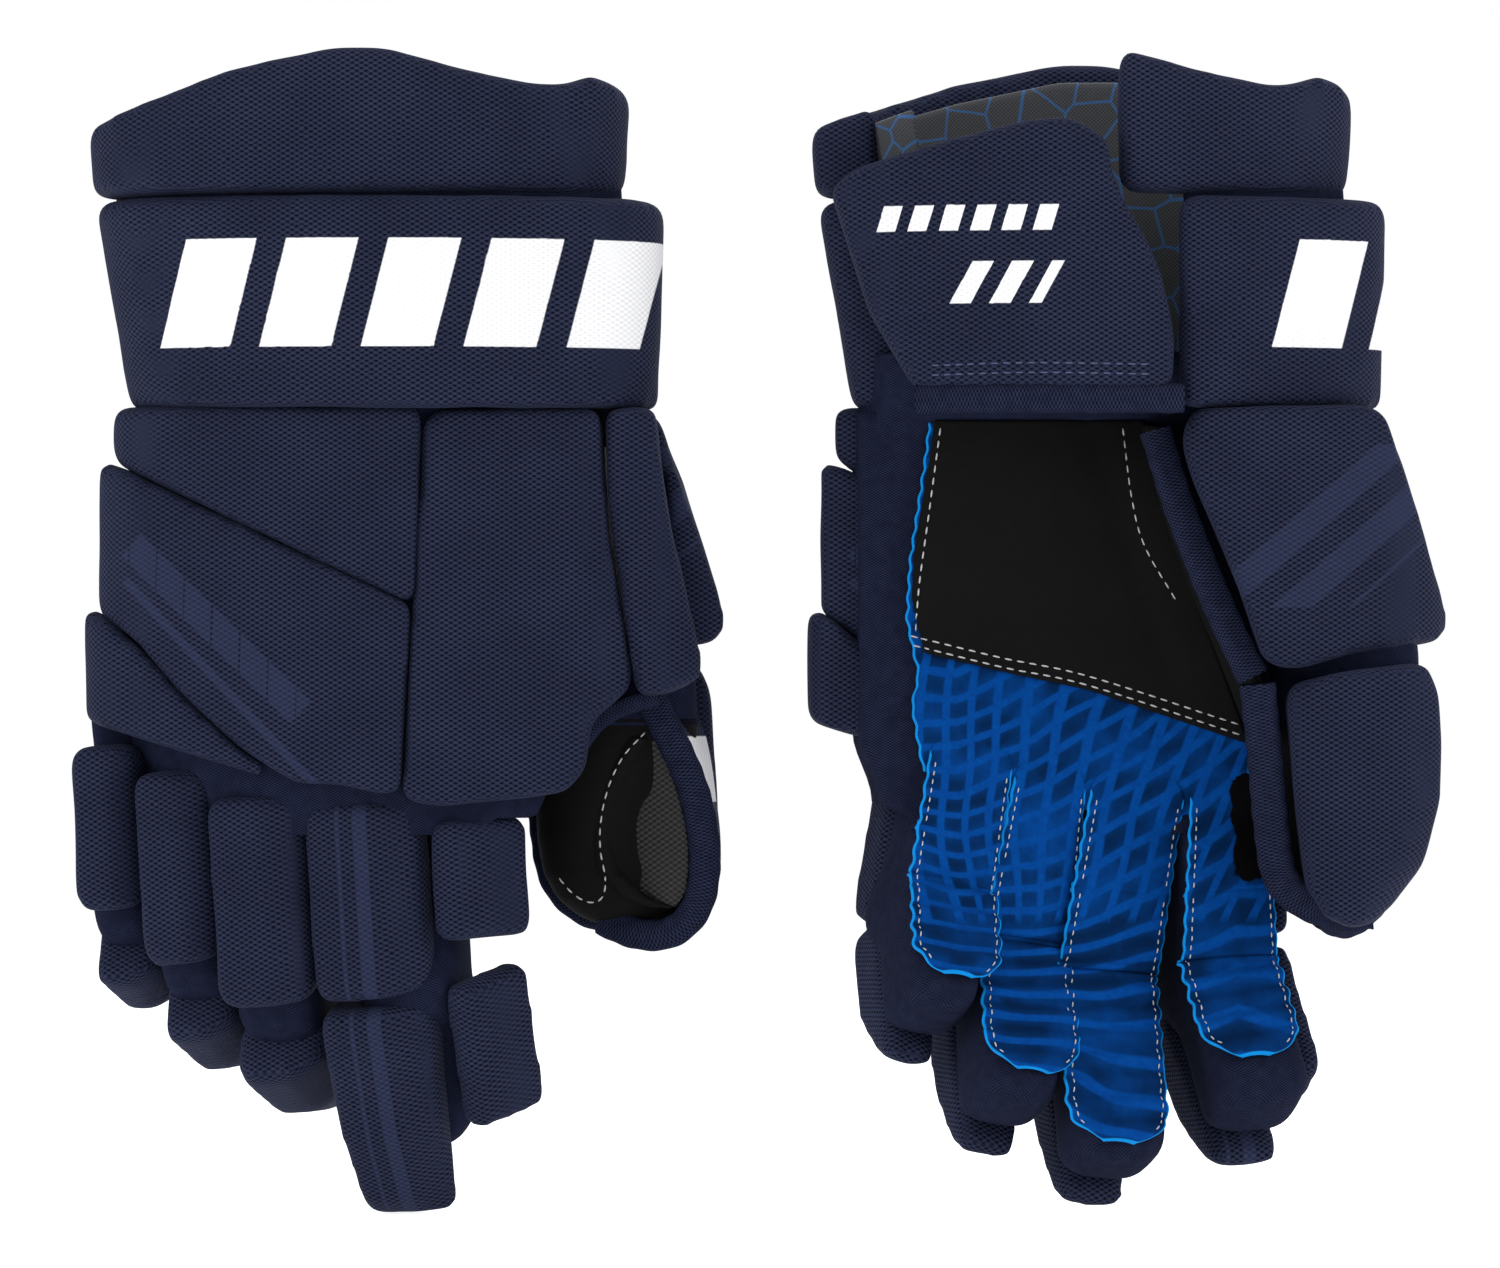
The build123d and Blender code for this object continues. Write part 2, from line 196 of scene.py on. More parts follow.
def write_coordinates(piece, glove, turn=None):
    """Store each point's place in the drawing, and the cloth's own grain directions."""
    place = glove.drawing(points_of(piece.data))
    side = vertex_normals(piece.data) * glove.flip
    store(piece.data, "place", place)
    if turn is None:
        turn = np.eye(3)
    store(piece.data, "cloth", place @ turn.T)
    store(piece.data, "grain", side @ turn.T)


def finish_piece(name, glove, verts, faces, material, levels=1, thickness=0.0, turn=None):
    """Make a smooth piece from drawing points."""
    if glove.side == "left":
        faces = [tuple(reversed(face)) for face in faces]
    piece = new_object(name, glove.world(verts), faces)
    piece.data.polygons.foreach_set("use_smooth", [True] * len(piece.data.polygons))
    piece.data.materials.append(material)
    write_coordinates(piece, glove, turn)
    if thickness:
        solid = piece.modifiers.new("thickness", "SOLIDIFY")
        solid.thickness = thickness * MM
        solid.offset = 0.0
    if levels:
        round_off = piece.modifiers.new("round", "SUBSURF")
        round_off.levels = levels
        round_off.render_levels = levels
    return piece


def attach(piece, glove, body, node=None):
    """Put a piece on a body, and hide the CAD solid that it stands for."""
    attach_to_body(piece, glove.name(body))
    if node:
        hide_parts(glove.name(node))
    return piece


def grid_faces(rows, columns, closed=False):
    """Quads of a grid of points, joined round when closed."""
    faces = []
    for row in range(rows - 1):
        for column in range(columns if closed else columns - 1):
            here = row * columns + column
            beside = row * columns + (column + 1) % columns
            faces.append((here, beside, beside + columns, here + columns))
    return faces


def edge_list(faces):
    """Every edge once, as pairs of point numbers."""
    edges = set()
    for face in faces:
        for a, b in zip(face, face[1:] + face[:1]):
            edges.add((min(a, b), max(a, b)))
    return np.array(sorted(edges))


def relax(verts, edges, rounds, strength=0.5):
    """Even out a mesh by moving each point towards its neighbours."""
    count = np.bincount(edges.ravel(), minlength=len(verts)).astype(float)
    for _ in range(rounds):
        total = np.empty_like(verts)
        for axis in range(3):
            total[:, axis] = np.bincount(edges[:, 0], verts[edges[:, 1], axis], len(verts))
            total[:, axis] += np.bincount(edges[:, 1], verts[edges[:, 0], axis], len(verts))
        verts = verts + strength * (total / count[:, None] - verts)
    return verts


# ---------------------------------------------------------------- material graphs

class Graph:
    """A node material under construction."""

    def __init__(self, name):
        self.material = bpy.data.materials.new(name)
        self.material.use_nodes = True
        self.tree = self.material.node_tree
        self.surface = self.tree.nodes["Principled BSDF"]

    def put(self, socket, value):
        if isinstance(value, bpy.types.NodeSocket):
            self.tree.links.new(value, socket)
        elif isinstance(value, tuple) and len(value) == 3 and socket.type == "RGBA":
            socket.default_value = (*value, 1.0)
        else:
            socket.default_value = value

    def math(self, operation, a, b=0.0, clamp=False):
        node = self.tree.nodes.new("ShaderNodeMath")
        node.operation = operation
        node.use_clamp = clamp
        self.put(node.inputs[0], a)
        self.put(node.inputs[1], b)
        return node.outputs[0]

    def add(self, a, b):
        return self.math("ADD", a, b)

    def times(self, a, b):
        return self.math("MULTIPLY", a, b)

    def between(self, value, low, high, soft=0.25):
        """One where a value lies between two limits, fading over a soft edge."""
        rise = self.math("DIVIDE", self.math("SUBTRACT", value, low), soft, clamp=True)
        fall = self.math("DIVIDE", self.math("SUBTRACT", high, value), soft, clamp=True)
        return self.times(rise, fall)

    def attribute(self, name):
        node = self.tree.nodes.new("ShaderNodeAttribute")
        node.attribute_name = name
        return node.outputs["Vector"]

    def split(self, vector):
        node = self.tree.nodes.new("ShaderNodeSeparateXYZ")
        self.put(node.inputs[0], vector)
        return node.outputs[0], node.outputs[1], node.outputs[2]

    def mix(self, factor, a, b):
        node = self.tree.nodes.new("ShaderNodeMix")
        node.data_type = "RGBA"
        self.put(node.inputs["Factor"], factor)
        self.put(node.inputs[6], a)
        self.put(node.inputs[7], b)
        return node.outputs[2]

    def noise(self, vector, scale, detail=2.0, rough=0.5):
        node = self.tree.nodes.new("ShaderNodeTexNoise")
        self.put(node.inputs["Vector"], vector)
        node.inputs["Scale"].default_value = scale
        node.inputs["Detail"].default_value = detail
        node.inputs["Roughness"].default_value = rough
        return node.outputs["Fac"]

    def bump(self, height, strength, distance):
        node = self.tree.nodes.new("ShaderNodeBump")
        node.inputs["Strength"].default_value = strength
        node.inputs["Distance"].default_value = distance * MM
        self.put(node.inputs["Height"], height)
        self.put(self.surface.inputs["Normal"], node.outputs[0])

    def face(self, colour, roughness, sheen=0.0, sheen_tint=(1.0, 1.0, 1.0), specular=0.5):
        self.put(self.surface.inputs["Base Color"], colour)
        self.put(self.surface.inputs["Roughness"], roughness)
        self.surface.inputs["Sheen Weight"].default_value = sheen
        self.surface.inputs["Sheen Roughness"].default_value = 0.4
        self.put(self.surface.inputs["Sheen Tint"], sheen_tint)
        self.surface.inputs["Specular IOR Level"].default_value = specular
        return self.material


def weave(graph, across, along):
    """Height of a coarse weave of raised dots, drawn along the axis that each point faces."""
    cloth_x, cloth_y, cloth_z = graph.split(graph.attribute("cloth"))
    grain_x, grain_y, grain_z = graph.split(graph.attribute("grain"))
    total = 0.0
    weight_sum = 1e-4
    views = ((grain_x, cloth_y, cloth_z), (grain_y, cloth_x, cloth_z), (grain_z, cloth_x, cloth_y))
    for grain, u, v in views:
        phase_u = graph.times(u, 2.0 * math.pi / across)
        phase_v = graph.times(v, 2.0 * math.pi / along)
        first = graph.math("SINE", graph.add(phase_u, phase_v))
        second = graph.math("SINE", graph.math("SUBTRACT", phase_u, phase_v))
        height = graph.math("MULTIPLY", graph.add(graph.add(first, second), 1.5), 0.34, clamp=True)
        weight = graph.math("POWER", graph.math("ABSOLUTE", grain), 6.0)
        total = graph.add(graph.times(height, weight), total)
        weight_sum = graph.add(weight, weight_sum)
    return graph.math("DIVIDE", total, weight_sum)


NAVY_DARK = (0.0009, 0.0013, 0.005)
NAVY_LIGHT = (0.028, 0.034, 0.071)
NAVY_PRINT = (0.024, 0.031, 0.069)
WHITE_PRINT = (0.80, 0.80, 0.82)


def nylon(name, prints=None):
    """Coarse navy nylon, with an optional printed mark: (mask, colour, share of weave left)."""
    graph = Graph(name)
    height = weave(graph, 2.8, 1.65)
    cloudy = graph.noise(graph.attribute("place"), 0.045, 3.0)
    tone = graph.add(graph.times(cloudy, 0.5), 0.5)
    strand = graph.math("MULTIPLY", graph.math("POWER", height, 0.8), tone, clamp=True)
    colour = graph.mix(strand, NAVY_DARK, NAVY_LIGHT)
    bump_height = height
    if prints:
        for mask, ink, kept in prints(graph):
            shade = graph.mix(graph.times(graph.math("SUBTRACT", 1.0, height), kept), ink, NAVY_DARK)
            colour = graph.mix(mask, colour, shade)
            bump_height = graph.times(bump_height, graph.math("SUBTRACT", 1.0, graph.times(mask, 1.0 - kept)))
    graph.bump(bump_height, 0.6, 0.4)
    return graph.face(colour, 0.75, 0.04, (0.45, 0.5, 0.85), 0.03)


def knit(name, dark=(0.0020, 0.0027, 0.008), light=(0.019, 0.0235, 0.053), rib=1.4):
    """Fine ribbed knit for gussets and bindings."""
    graph = Graph(name)
    height = weave(graph, rib, 0.8)
    soft = graph.noise(graph.attribute("place"), 0.3, 3.0)
    colour = graph.mix(graph.times(height, graph.add(soft, 0.3)), dark, light)
    graph.bump(height, 0.5, 0.3)
    return graph.face(colour, 0.9, specular=0.02)


def slanted_bars(graph, lean, pitch, duty, low, high, start, stop):
    """Mask of equal slanted bars: where the drawing's x and z fall inside a row of them."""
    x, _, z = graph.split(graph.attribute("place"))
    shifted = graph.math("SUBTRACT", x, graph.times(z, lean))
    cycle = graph.math("FRACT", graph.math("DIVIDE", graph.math("SUBTRACT", shifted, start), pitch))
    stripe = graph.between(cycle, 0.0, duty, 0.012)
    row = graph.between(z, low, high, 0.3)
    reach = graph.between(shifted, start, stop, 0.3)
    return graph.times(graph.times(stripe, row), reach)


def band_prints(graph):
    """White slanted bars round the cuff band, from the back over the thumb side to the palm side."""
    back = slanted_bars(graph, 0.26, 31.0, 0.72, 265.0, 298.0, -142.0, 60.0)
    front = slanted_bars(graph, 0.26, 31.0, 0.72, 265.0, 298.0, -26.0, 60.0)
    _, y, _ = graph.split(graph.attribute("place"))
    is_front = graph.math("GREATER_THAN", y, 0.0)
    choose = graph.mix(is_front, back, front)
    return [(choose, WHITE_PRINT, 0.25)]


def flap_prints(graph):
    """Small white slanted bars on the cuff flap."""
    upper = slanted_bars(graph, 0.30, 9.4, 0.62, 300.0, 308.0, -167.0, -112.0)
    lower = slanted_bars(graph, 0.55, 12.0, 0.55, 278.0, 291.0, -208.0, -180.0)
    return [(graph.math("MAXIMUM", upper, lower), WHITE_PRINT, 0.25)]


def middle_pad_prints(graph):
    """Tonal smooth stripes that fan down the middle pad."""
    x, _, z = graph.split(graph.attribute("place"))
    # distance along and across a line leaning down towards the thumb
    lean = math.radians(-44.0)
    from_x = graph.add(x, 83.0)
    from_z = graph.math("SUBTRACT", z, 205.0)
    along = graph.add(graph.times(from_x, math.cos(lean)), graph.times(from_z, math.sin(lean)))
    across = graph.add(graph.times(from_x, -math.sin(lean)), graph.times(from_z, math.cos(lean)))
    wide = graph.times(graph.between(along, 0.0, 74.0, 0.5), graph.between(across, -4.0, 5.5, 0.3))
    cuts = graph.math("FRACT", graph.math("DIVIDE", graph.add(along, graph.times(across, 0.9)), 12.0))
    wide = graph.times(wide, graph.between(cuts, 0.04, 1.0, 0.02))
    fanned = graph.add(across, graph.times(along, 0.045))
    thin = graph.times(graph.between(along, 6.0, 104.0, 0.5), graph.between(fanned, -9.5, -6.5, 0.3))
    return [(graph.times(graph.math("MAXIMUM", wide, thin), 0.6), NAVY_PRINT, 0.3)]


def thumb_prints(graph):
    """Tonal smooth slanted bars on the thumb's upper pad."""
    bars = slanted_bars(graph, 1.15, 24.0, 0.55, 186.0, 236.0, -196.0, -146.0)
    return [(graph.times(bars, 0.6), NAVY_PRINT, 0.35)]


def roll_prints(graph):
    """Two tonal stripes along the index finger's rolls."""
    u, _, _ = graph.split(graph.attribute("cloth"))
    stripe = graph.math("MAXIMUM", graph.between(u, -1.5, 3.0, 0.3), graph.between(u, -7.0, -5.6, 0.3))
    return [(graph.times(stripe, 0.6), NAVY_PRINT, 0.3)]


def tip_prints(graph):
    """A small plain white mark on the back edge of the thumb."""
    _, y, z = graph.split(graph.attribute("place"))
    patch = graph.times(graph.between(z, 126.0, 146.5, 0.4), graph.between(y, -20.0, 21.0, 0.4))
    return [(patch, WHITE_PRINT, 0.2)]


def blue_suede(name):
    """Bright blue suede printed with a darker grid that bends, leans and turns into stripes."""
    graph = Graph(name)
    place = graph.attribute("place")
    x, _, z = graph.split(place)
    rim, _, _ = graph.split(graph.attribute("rim"))
    sway = graph.times(graph.add(graph.noise(place, 0.014, 1.0), -0.5), 26.0)
    lift = graph.times(graph.add(graph.noise(place, 0.02, 1.0), -0.5), 18.0)
    lean = graph.math("MULTIPLY", graph.add(x, 52.0), 1.0 / 85.0, clamp=True)
    drop_down = graph.math("SUBTRACT", 128.0, z)
    u = graph.add(graph.add(x, sway), graph.times(graph.times(lean, drop_down), 0.5))
    v = graph.add(graph.add(z, lift), graph.times(graph.times(lean, graph.add(x, 60.0)), -0.32))
    v = graph.add(v, graph.times(graph.math("MULTIPLY", drop_down, 0.012, clamp=True), graph.times(x, 0.66)))
    period = graph.add(graph.times(lean, 1.6), 8.0)
    cell_u = graph.math("ABSOLUTE", graph.math("SINE", graph.math("DIVIDE", graph.times(u, math.pi), period)))
    cell_v = graph.math("ABSOLUTE", graph.math("SINE", graph.math("DIVIDE", graph.times(v, math.pi), period)))
    stripes = graph.math("MULTIPLY", graph.math("SUBTRACT", 97.0, z), 1.0 / 12.0, clamp=True)
    cell_u = graph.math("MAXIMUM", cell_u, graph.times(stripes, 0.9))
    cell = graph.between(graph.math("MINIMUM", cell_u, cell_v), 0.36, 3.0, 0.2)
    cell = graph.times(cell, graph.add(graph.times(cell_v, 0.4), 0.6))
    patchy = graph.noise(place, 0.06, 2.0)
    cell = graph.times(cell, graph.math("MULTIPLY", graph.add(patchy, -0.12), 2.1, clamp=True))
    worn = graph.noise(place, 0.4, 4.0, 0.65)
    base = graph.mix(worn, (0.0001, 0.020, 0.128), (0.0003, 0.057, 0.275))
    colour = graph.mix(cell, base, (0.0001, 0.0072, 0.038))
    nap = graph.noise(place, 2.4, 3.0, 0.7)
    colour = graph.mix(graph.times(nap, 0.05), colour, (0.01, 0.2, 0.6))
    colour = graph.mix(graph.between(rim, -9.0, 0.9, 0.4), colour, (0.004, 0.20, 0.55))
    wobble = graph.times(graph.add(graph.noise(place, 0.13, 3.0), -0.5), 11.0)
    notch = graph.times(graph.between(graph.add(x, wobble), 32.0, 70.0, 0.8),
                        graph.between(graph.add(z, wobble), 103.5, 134.0, 0.8))
    colour = graph.mix(notch, colour, (0.0015, 0.0015, 0.002))
    graph.bump(graph.add(graph.times(nap, 0.6), graph.times(worn, 0.9)), 0.5, 0.6)
    return graph.face(colour, 0.9, specular=0.04)


def black_suede(name):
    """Black brushed suede, slightly worn in patches."""
    graph = Graph(name)
    place = graph.attribute("place")
    nap = graph.noise(place, 1.6, 4.0, 0.75)
    worn = graph.noise(place, 0.06, 3.0)
    colour = graph.mix(nap, (0.0010, 0.0010, 0.0011), (0.0075, 0.0074, 0.0078))
    colour = graph.mix(graph.times(worn, 0.2), colour, (0.011, 0.011, 0.0113))
    graph.bump(nap, 0.45, 0.4)
    return graph.face(colour, 0.95, specular=0.06)


def thread(name, colour):
    """Twisted sewing thread."""
    graph = Graph(name)
    twist = graph.noise(graph.attribute("place"), 3.0, 2.0)
    shade = graph.mix(twist, tuple(c * 0.7 for c in colour), colour)
    graph.bump(twist, 0.3, 0.2)
    return graph.face(shade, 0.6)


def liner_print(name):
    """Grey lining with a faint blue angular line print."""
    graph = Graph(name)
    place = graph.attribute("place")
    cells = graph.tree.nodes.new("ShaderNodeTexVoronoi")
    cells.feature = "DISTANCE_TO_EDGE"
    cells.inputs["Scale"].default_value = 0.07
    graph.put(cells.inputs["Vector"], place)
    line = graph.between(cells.outputs["Distance"], -1.0, 0.035, 0.015)
    height = weave(graph, 1.2, 1.2)
    base = graph.mix(height, (0.012, 0.013, 0.017), (0.040, 0.043, 0.050))
    colour = graph.mix(graph.times(line, 0.7), base, (0.01, 0.09, 0.26))
    graph.bump(height, 0.4, 0.3)
    return graph.face(colour, 0.8, 0.2)


def plastic(name):
    """Matt grey plastic of the hidden stiff plates."""
    graph = Graph(name)
    node = graph.tree.nodes.new("ShaderNodeTexCoord")
    speck = graph.noise(node.outputs["Object"], 800.0, 3.0)
    graph.bump(speck, 0.1, 0.1)
    return graph.face(graph.mix(speck, (0.5, 0.52, 0.54), (0.62, 0.64, 0.66)), 0.45)


def mesh_cloth(name):
    """Open black mesh inside the thumb."""
    graph = Graph(name)
    height = weave(graph, 2.6, 1.8)
    colour = graph.mix(height, (0.002, 0.002, 0.002), (0.030, 0.030, 0.031))
    graph.bump(height, 0.7, 0.5)
    return graph.face(colour, 0.7, specular=0.3)


NYLON = nylon("navy_nylon")
NYLON_BAND = nylon("navy_nylon_band", band_prints)
NYLON_FLAP = nylon("navy_nylon_flap", flap_prints)
NYLON_MIDDLE = nylon("navy_nylon_middle_pad", middle_pad_prints)
NYLON_THUMB = nylon("navy_nylon_thumb", thumb_prints)
NYLON_INDEX = nylon("navy_nylon_index", roll_prints)
NYLON_TIP = nylon("navy_nylon_thumb_tip", tip_prints)
KNIT = knit("navy_knit")
BINDING = knit("navy_binding", (0.0025, 0.0033, 0.009), (0.022, 0.027, 0.058), 1.1)
BLUE = blue_suede("blue_palm_suede")
BLACK = black_suede("black_suede")
PALE_THREAD = thread("pale_thread", (0.42, 0.42, 0.43))
NAVY_THREAD = thread("navy_thread", (0.045, 0.055, 0.14))
LINER = liner_print("cuff_liner_cloth")
PLASTIC = plastic("insert_plastic")
MESH = mesh_cloth("thumb_mesh_cloth")


# ---------------------------------------------------------------- padded pieces

def closed_islands(verts, faces):
    """Split a mesh into its separate closed pieces, joining points that coincide."""
    rounded = np.round(verts, 7)
    _, first, inverse = np.unique(rounded, axis=0, return_index=True, return_inverse=True)
    inverse = inverse.ravel()
    parent = list(range(len(first)))

    def root(i):
        while parent[i] != i:
            parent[i] = parent[parent[i]]
            i = parent[i]
        return i

    joined = [tuple(int(inverse[i]) for i in face) for face in faces]
    for face in joined:
        for other in face[1:]:
            parent[root(face[0])] = root(other)
    groups = {}
    for face in joined:
        groups.setdefault(root(face[0]), []).append(face)
    return [(verts[first], group) for group in groups.values()]


def remesh(verts, faces, voxel):
    """Even quads over a closed shape."""
    used = sorted({i for face in faces for i in face})
    index = {old: new for new, old in enumerate(used)}
    work = new_object("work", verts[used], [tuple(index[i] for i in face) for face in faces])
    modifier = work.modifiers.new("remesh", "REMESH")
    modifier.mode = "VOXEL"
    modifier.voxel_size = voxel * MM
    result = mesh_arrays(work)
    drop(work)
    return result


CLOTH_FRAMES = 14
CLOTH_PRESSURE = 9.0
LEAST_RISE = 0.7  # share of a pad's cap that every point rises at least
MOST_SLIDE = 0.4  # share of a pad's cap that a point may slide sideways
PAD_SIZES = (1.0, 2.4)  # how far a pad is drawn in before it swells, and the cap on its swelling
ROLL_SIZES = (0.9, 2.0)
SIDE_PAD_SIZES = (1.0, 2.0)
ROLL_VOXEL = 2.2
CUFF_REACH = 3.6  # how far the hand's pads reach up towards the cuff beyond their CAD solids


def swell(parts):
    """Blow the pads up together with Blender's cloth, then keep each point's move within limits."""
    starts = np.cumsum([0] + [len(part["verts"]) for part in parts])
    verts = np.concatenate([part["verts"] for part in parts])
    faces = []
    for start, part in zip(starts, parts):
        faces += [tuple(int(i + start) for i in face) for face in part["faces"]]
    work = new_object("cloth_work", verts, faces)
    cloth = work.modifiers.new("cloth", "CLOTH")
    settings = cloth.settings
    settings.quality = 4
    settings.mass = 0.3
    settings.use_pressure = True
    settings.uniform_pressure_force = CLOTH_PRESSURE
    settings.effector_weights.gravity = 0.0
    cloth.collision_settings.use_collision = False
    cloth.point_cache.frame_start = 1
    cloth.point_cache.frame_end = CLOTH_FRAMES
    for number in range(1, CLOTH_FRAMES + 1):
        bpy.context.scene.frame_set(number)
    moved, _ = mesh_arrays(work)
    drop(work)
    bpy.context.scene.frame_set(1)
    for start, part in zip(starts, parts):
        cap = part["cap"] * MM
        normals = outward(part["verts"], part["faces"])
        step = moved[start:start + len(part["verts"])] - part["verts"]
        rise = (step * normals).sum(axis=1, keepdims=True)
        slide = step - normals * rise
        reach = np.maximum(np.linalg.norm(slide, axis=1, keepdims=True), 1e-9)
        slide = slide * np.minimum(1.0, MOST_SLIDE * cap / reach)
        part["verts"] = part["verts"] + slide + normals * np.clip(rise, LEAST_RISE * cap, cap)
    return parts


def pad_source(glove, node, voxel, sizes, material, body, finger=None, lower=False):
    """A pad's starting shape: its CAD solid, remeshed, softened and drawn in a little."""
    shrink, cap = sizes
    cad = frame["nodes"][glove.name(node)].data
    islands = closed_islands(points_of(cad), [tuple(face.vertices) for face in cad.polygons])
    if len(islands) > 1:
        islands.sort(key=lambda island: -spread(island, finger, lower))
    verts, faces = islands[0]
    verts, faces = remesh(verts, faces, voxel)
    edges = edge_list(faces)
    verts = relax(verts, edges, 1)
    verts = verts - shrink * MM * outward(verts, faces)
    if finger is not None and "side_pad" not in node:
        verts = shape_roll(glove, finger, verts, lower)
    if node == "thumb_tip_pad":
        verts = glove.world(glove.taper(glove.drawing(verts)))
    if body in ("hand", "thumb_base"):
        verts[:, 2] += CUFF_REACH * MM * ease((glove.drawing(verts)[:, 2] - 228.0) / 14.0)
    return {"glove": glove, "node": node, "verts": verts, "faces": faces, "edges": edges, "cap": cap,
            "material": material, "body": body, "finger": finger, "lower": lower}


def shape_roll(glove, finger, verts, lower):
    """Give a finger roll its slanted thumb-side face, and lean its end over the middle joint."""
    axes = finger.far if lower else finger.near
    local = (glove.drawing(verts) - finger.middle) @ axes.T
    half = np.abs(local[:, 0]).max()
    back = ease((-8.0 - local[:, 1]) / 14.0)
    local[:, 1] += np.maximum(0.0, local[:, 0] - 0.12 * half) * 0.62 * back
    reach = math.tan(finger.curl / 2.0) * (1.2 if finger.curl < 0.7 else 0.35)
    if not lower:
        local[:, 2] += 4.5 * ease((local[:, 2] - finger.first + 20.0) / 18.0)
    near_joint = ease(1.0 - np.abs(local[:, 2]) / 16.0)
    lean = np.maximum(0.0, -local[:, 1]) * reach * near_joint
    meet = 1.7 * near_joint
    local[:, 2] += lean + meet if lower else -lean - meet
    return glove.world(local @ axes + finger.middle)


def spread(island, finger, lower):
    """How far towards the back of the finger an island lies."""
    verts, faces = island
    used = sorted({i for face in faces for i in face})
    centre = finger.glove.drawing(verts[used].mean(0))
    axes = finger.far if lower else finger.near
    return -float((centre - finger.middle) @ axes[1])


def outward(verts, faces):
    """Unit normals from the faces round each point."""
    quads = np.array([face if len(face) == 4 else face + face[-1:] for face in faces])
    cross = np.cross(verts[quads[:, 2]] - verts[quads[:, 0]], verts[quads[:, 3]] - verts[quads[:, 1]])
    normals = np.zeros_like(verts)
    for corner in range(4):
        for axis in range(3):
            normals[:, axis] += np.bincount(quads[:, corner], cross[:, axis], len(verts))
    return normals / np.maximum(np.linalg.norm(normals, axis=1, keepdims=True), 1e-12)


def pad_piece(part):
    """Turn a swollen pad into a finished piece."""
    glove = part["glove"]
    verts = relax(part["verts"], part["edges"], 1)
    normals = outward(verts, part["faces"])
    ripple = np.array([noise.noise(Vector(v) * 60.0) for v in verts])
    verts = verts + normals * (ripple * 0.4 * MM)[:, None]
    name = glove.name(part["node"]) + "_cover"
    piece = new_object(name, verts, part["faces"])
    piece.data.polygons.foreach_set("use_smooth", [True] * len(piece.data.polygons))
    piece.data.materials.append(part["material"])
    turn = None
    if part["finger"] is not None:
        turn = part["finger"].far if part["lower"] else part["finger"].near
    write_coordinates(piece, glove, turn)
    if part["finger"] is not None:
        centre_cloth(piece, part["finger"], part["lower"])
    round_off = piece.modifiers.new("round", "SUBSURF")
    round_off.levels = 1
    round_off.render_levels = 1
    return attach(piece, glove, part["body"], part["node"])


def centre_cloth(piece, finger, lower):
    """Measure a finger pad's cloth from the finger's own pivot, so that stripes follow the finger."""
    axes = finger.far if lower else finger.near
    pivot = finger.middle if lower else finger.knuckle
    store(piece.data, "cloth", (finger.glove.drawing(points_of(piece.data)) - pivot) @ axes.T)


def build_pads(glove, fingers):
    """Every padded piece of one glove."""
    plan = [
        ("back_upper_pad", 2.4, NYLON, "hand"),
        ("back_middle_pad", 2.4, NYLON_MIDDLE, "hand"),
        ("back_lower_pad", 2.4, NYLON, "hand"),
        ("back_main_pad", 2.4, NYLON, "hand"),
        ("side_roll", 2.4, NYLON, "hand"),
        ("cuff_top_roll", 3.0, NYLON, "cuff"),
        ("cuff_band", 3.0, NYLON_BAND, "cuff"),
        ("cuff_flap", 2.6, NYLON_FLAP, "flap"),
        ("thumb_upper_pad", 2.5, NYLON_THUMB, "thumb_base"),
        ("thumb_tip_pad", 2.5, NYLON_TIP, "thumb_tip"),
    ]
    parts = [pad_source(glove, node, voxel, PAD_SIZES, material, body) for node, voxel, material, body in plan]
    for key, finger in fingers.items():
        material = NYLON_INDEX if key == "index" else NYLON
        parts.append(pad_source(glove, key + "_proximal_roll", ROLL_VOXEL, ROLL_SIZES, material,
                                key + "_proximal", finger, False))
        parts.append(pad_source(glove, key + "_distal", ROLL_VOXEL, ROLL_SIZES, material,
                                key + "_distal_part", finger, True))
    for node, body, lower in (("index_side_pad_upper", "index_proximal", False),
                              ("index_side_pad_lower", "index_distal_part", True)):
        parts.append(pad_source(glove, node, ROLL_VOXEL, SIDE_PAD_SIZES, NYLON, body, fingers["index"], lower))
    return {part["node"]: pad_piece(part) for part in swell(parts)}


# ---------------------------------------------------------------- curves, sheets and bindings

def interpolate(table, position):
    """Value at a position along a list of (position, value) pairs."""
    places, values = zip(*sorted(table))
    return np.interp(position, places, values)


def ease(value):
    """A smooth rise from 0 to 1, flat outside."""
    value = np.clip(value, 0.0, 1.0)
    return value * value * (3.0 - 2.0 * value)


def curve(points, count):
    """Evenly spaced points along a smooth line through the given points."""
    points = np.asarray(points, float)
    ends = np.vstack([2 * points[0] - points[1], points, 2 * points[-1] - points[-2]])
    share = np.linspace(0.0, 1.0, 12, endpoint=False)[:, None]
    fine = []
    for a, b, c, d in zip(ends, ends[1:], ends[2:], ends[3:]):
        square = (2 * a - 5 * b + 4 * c - d) * share ** 2
        fine.append(0.5 * (2 * b + (c - a) * share + square + (3 * b - a - 3 * c + d) * share ** 3))
    fine = np.vstack(fine + [points[-1:]])
    reach = np.append(0.0, np.cumsum(np.linalg.norm(np.diff(fine, axis=0), axis=1)))
    even = np.linspace(0.0, reach[-1], count)
    return np.stack([np.interp(even, reach, fine[:, axis]) for axis in range(fine.shape[1])], -1)


def between_curves(first, second, rows, columns, bulge=0.0):
    """A sheet between two curves, bulging towards the palm side."""
    share = np.linspace(0.0, 1.0, columns)
    points = curve(first, rows)[:, None] * (1.0 - share)[None, :, None]
    points = points + curve(second, rows)[:, None] * share[None, :, None]
    points[..., 1] += bulge * 4.0 * share * (1.0 - share)
    return points.reshape(-1, 3), grid_faces(rows, columns)


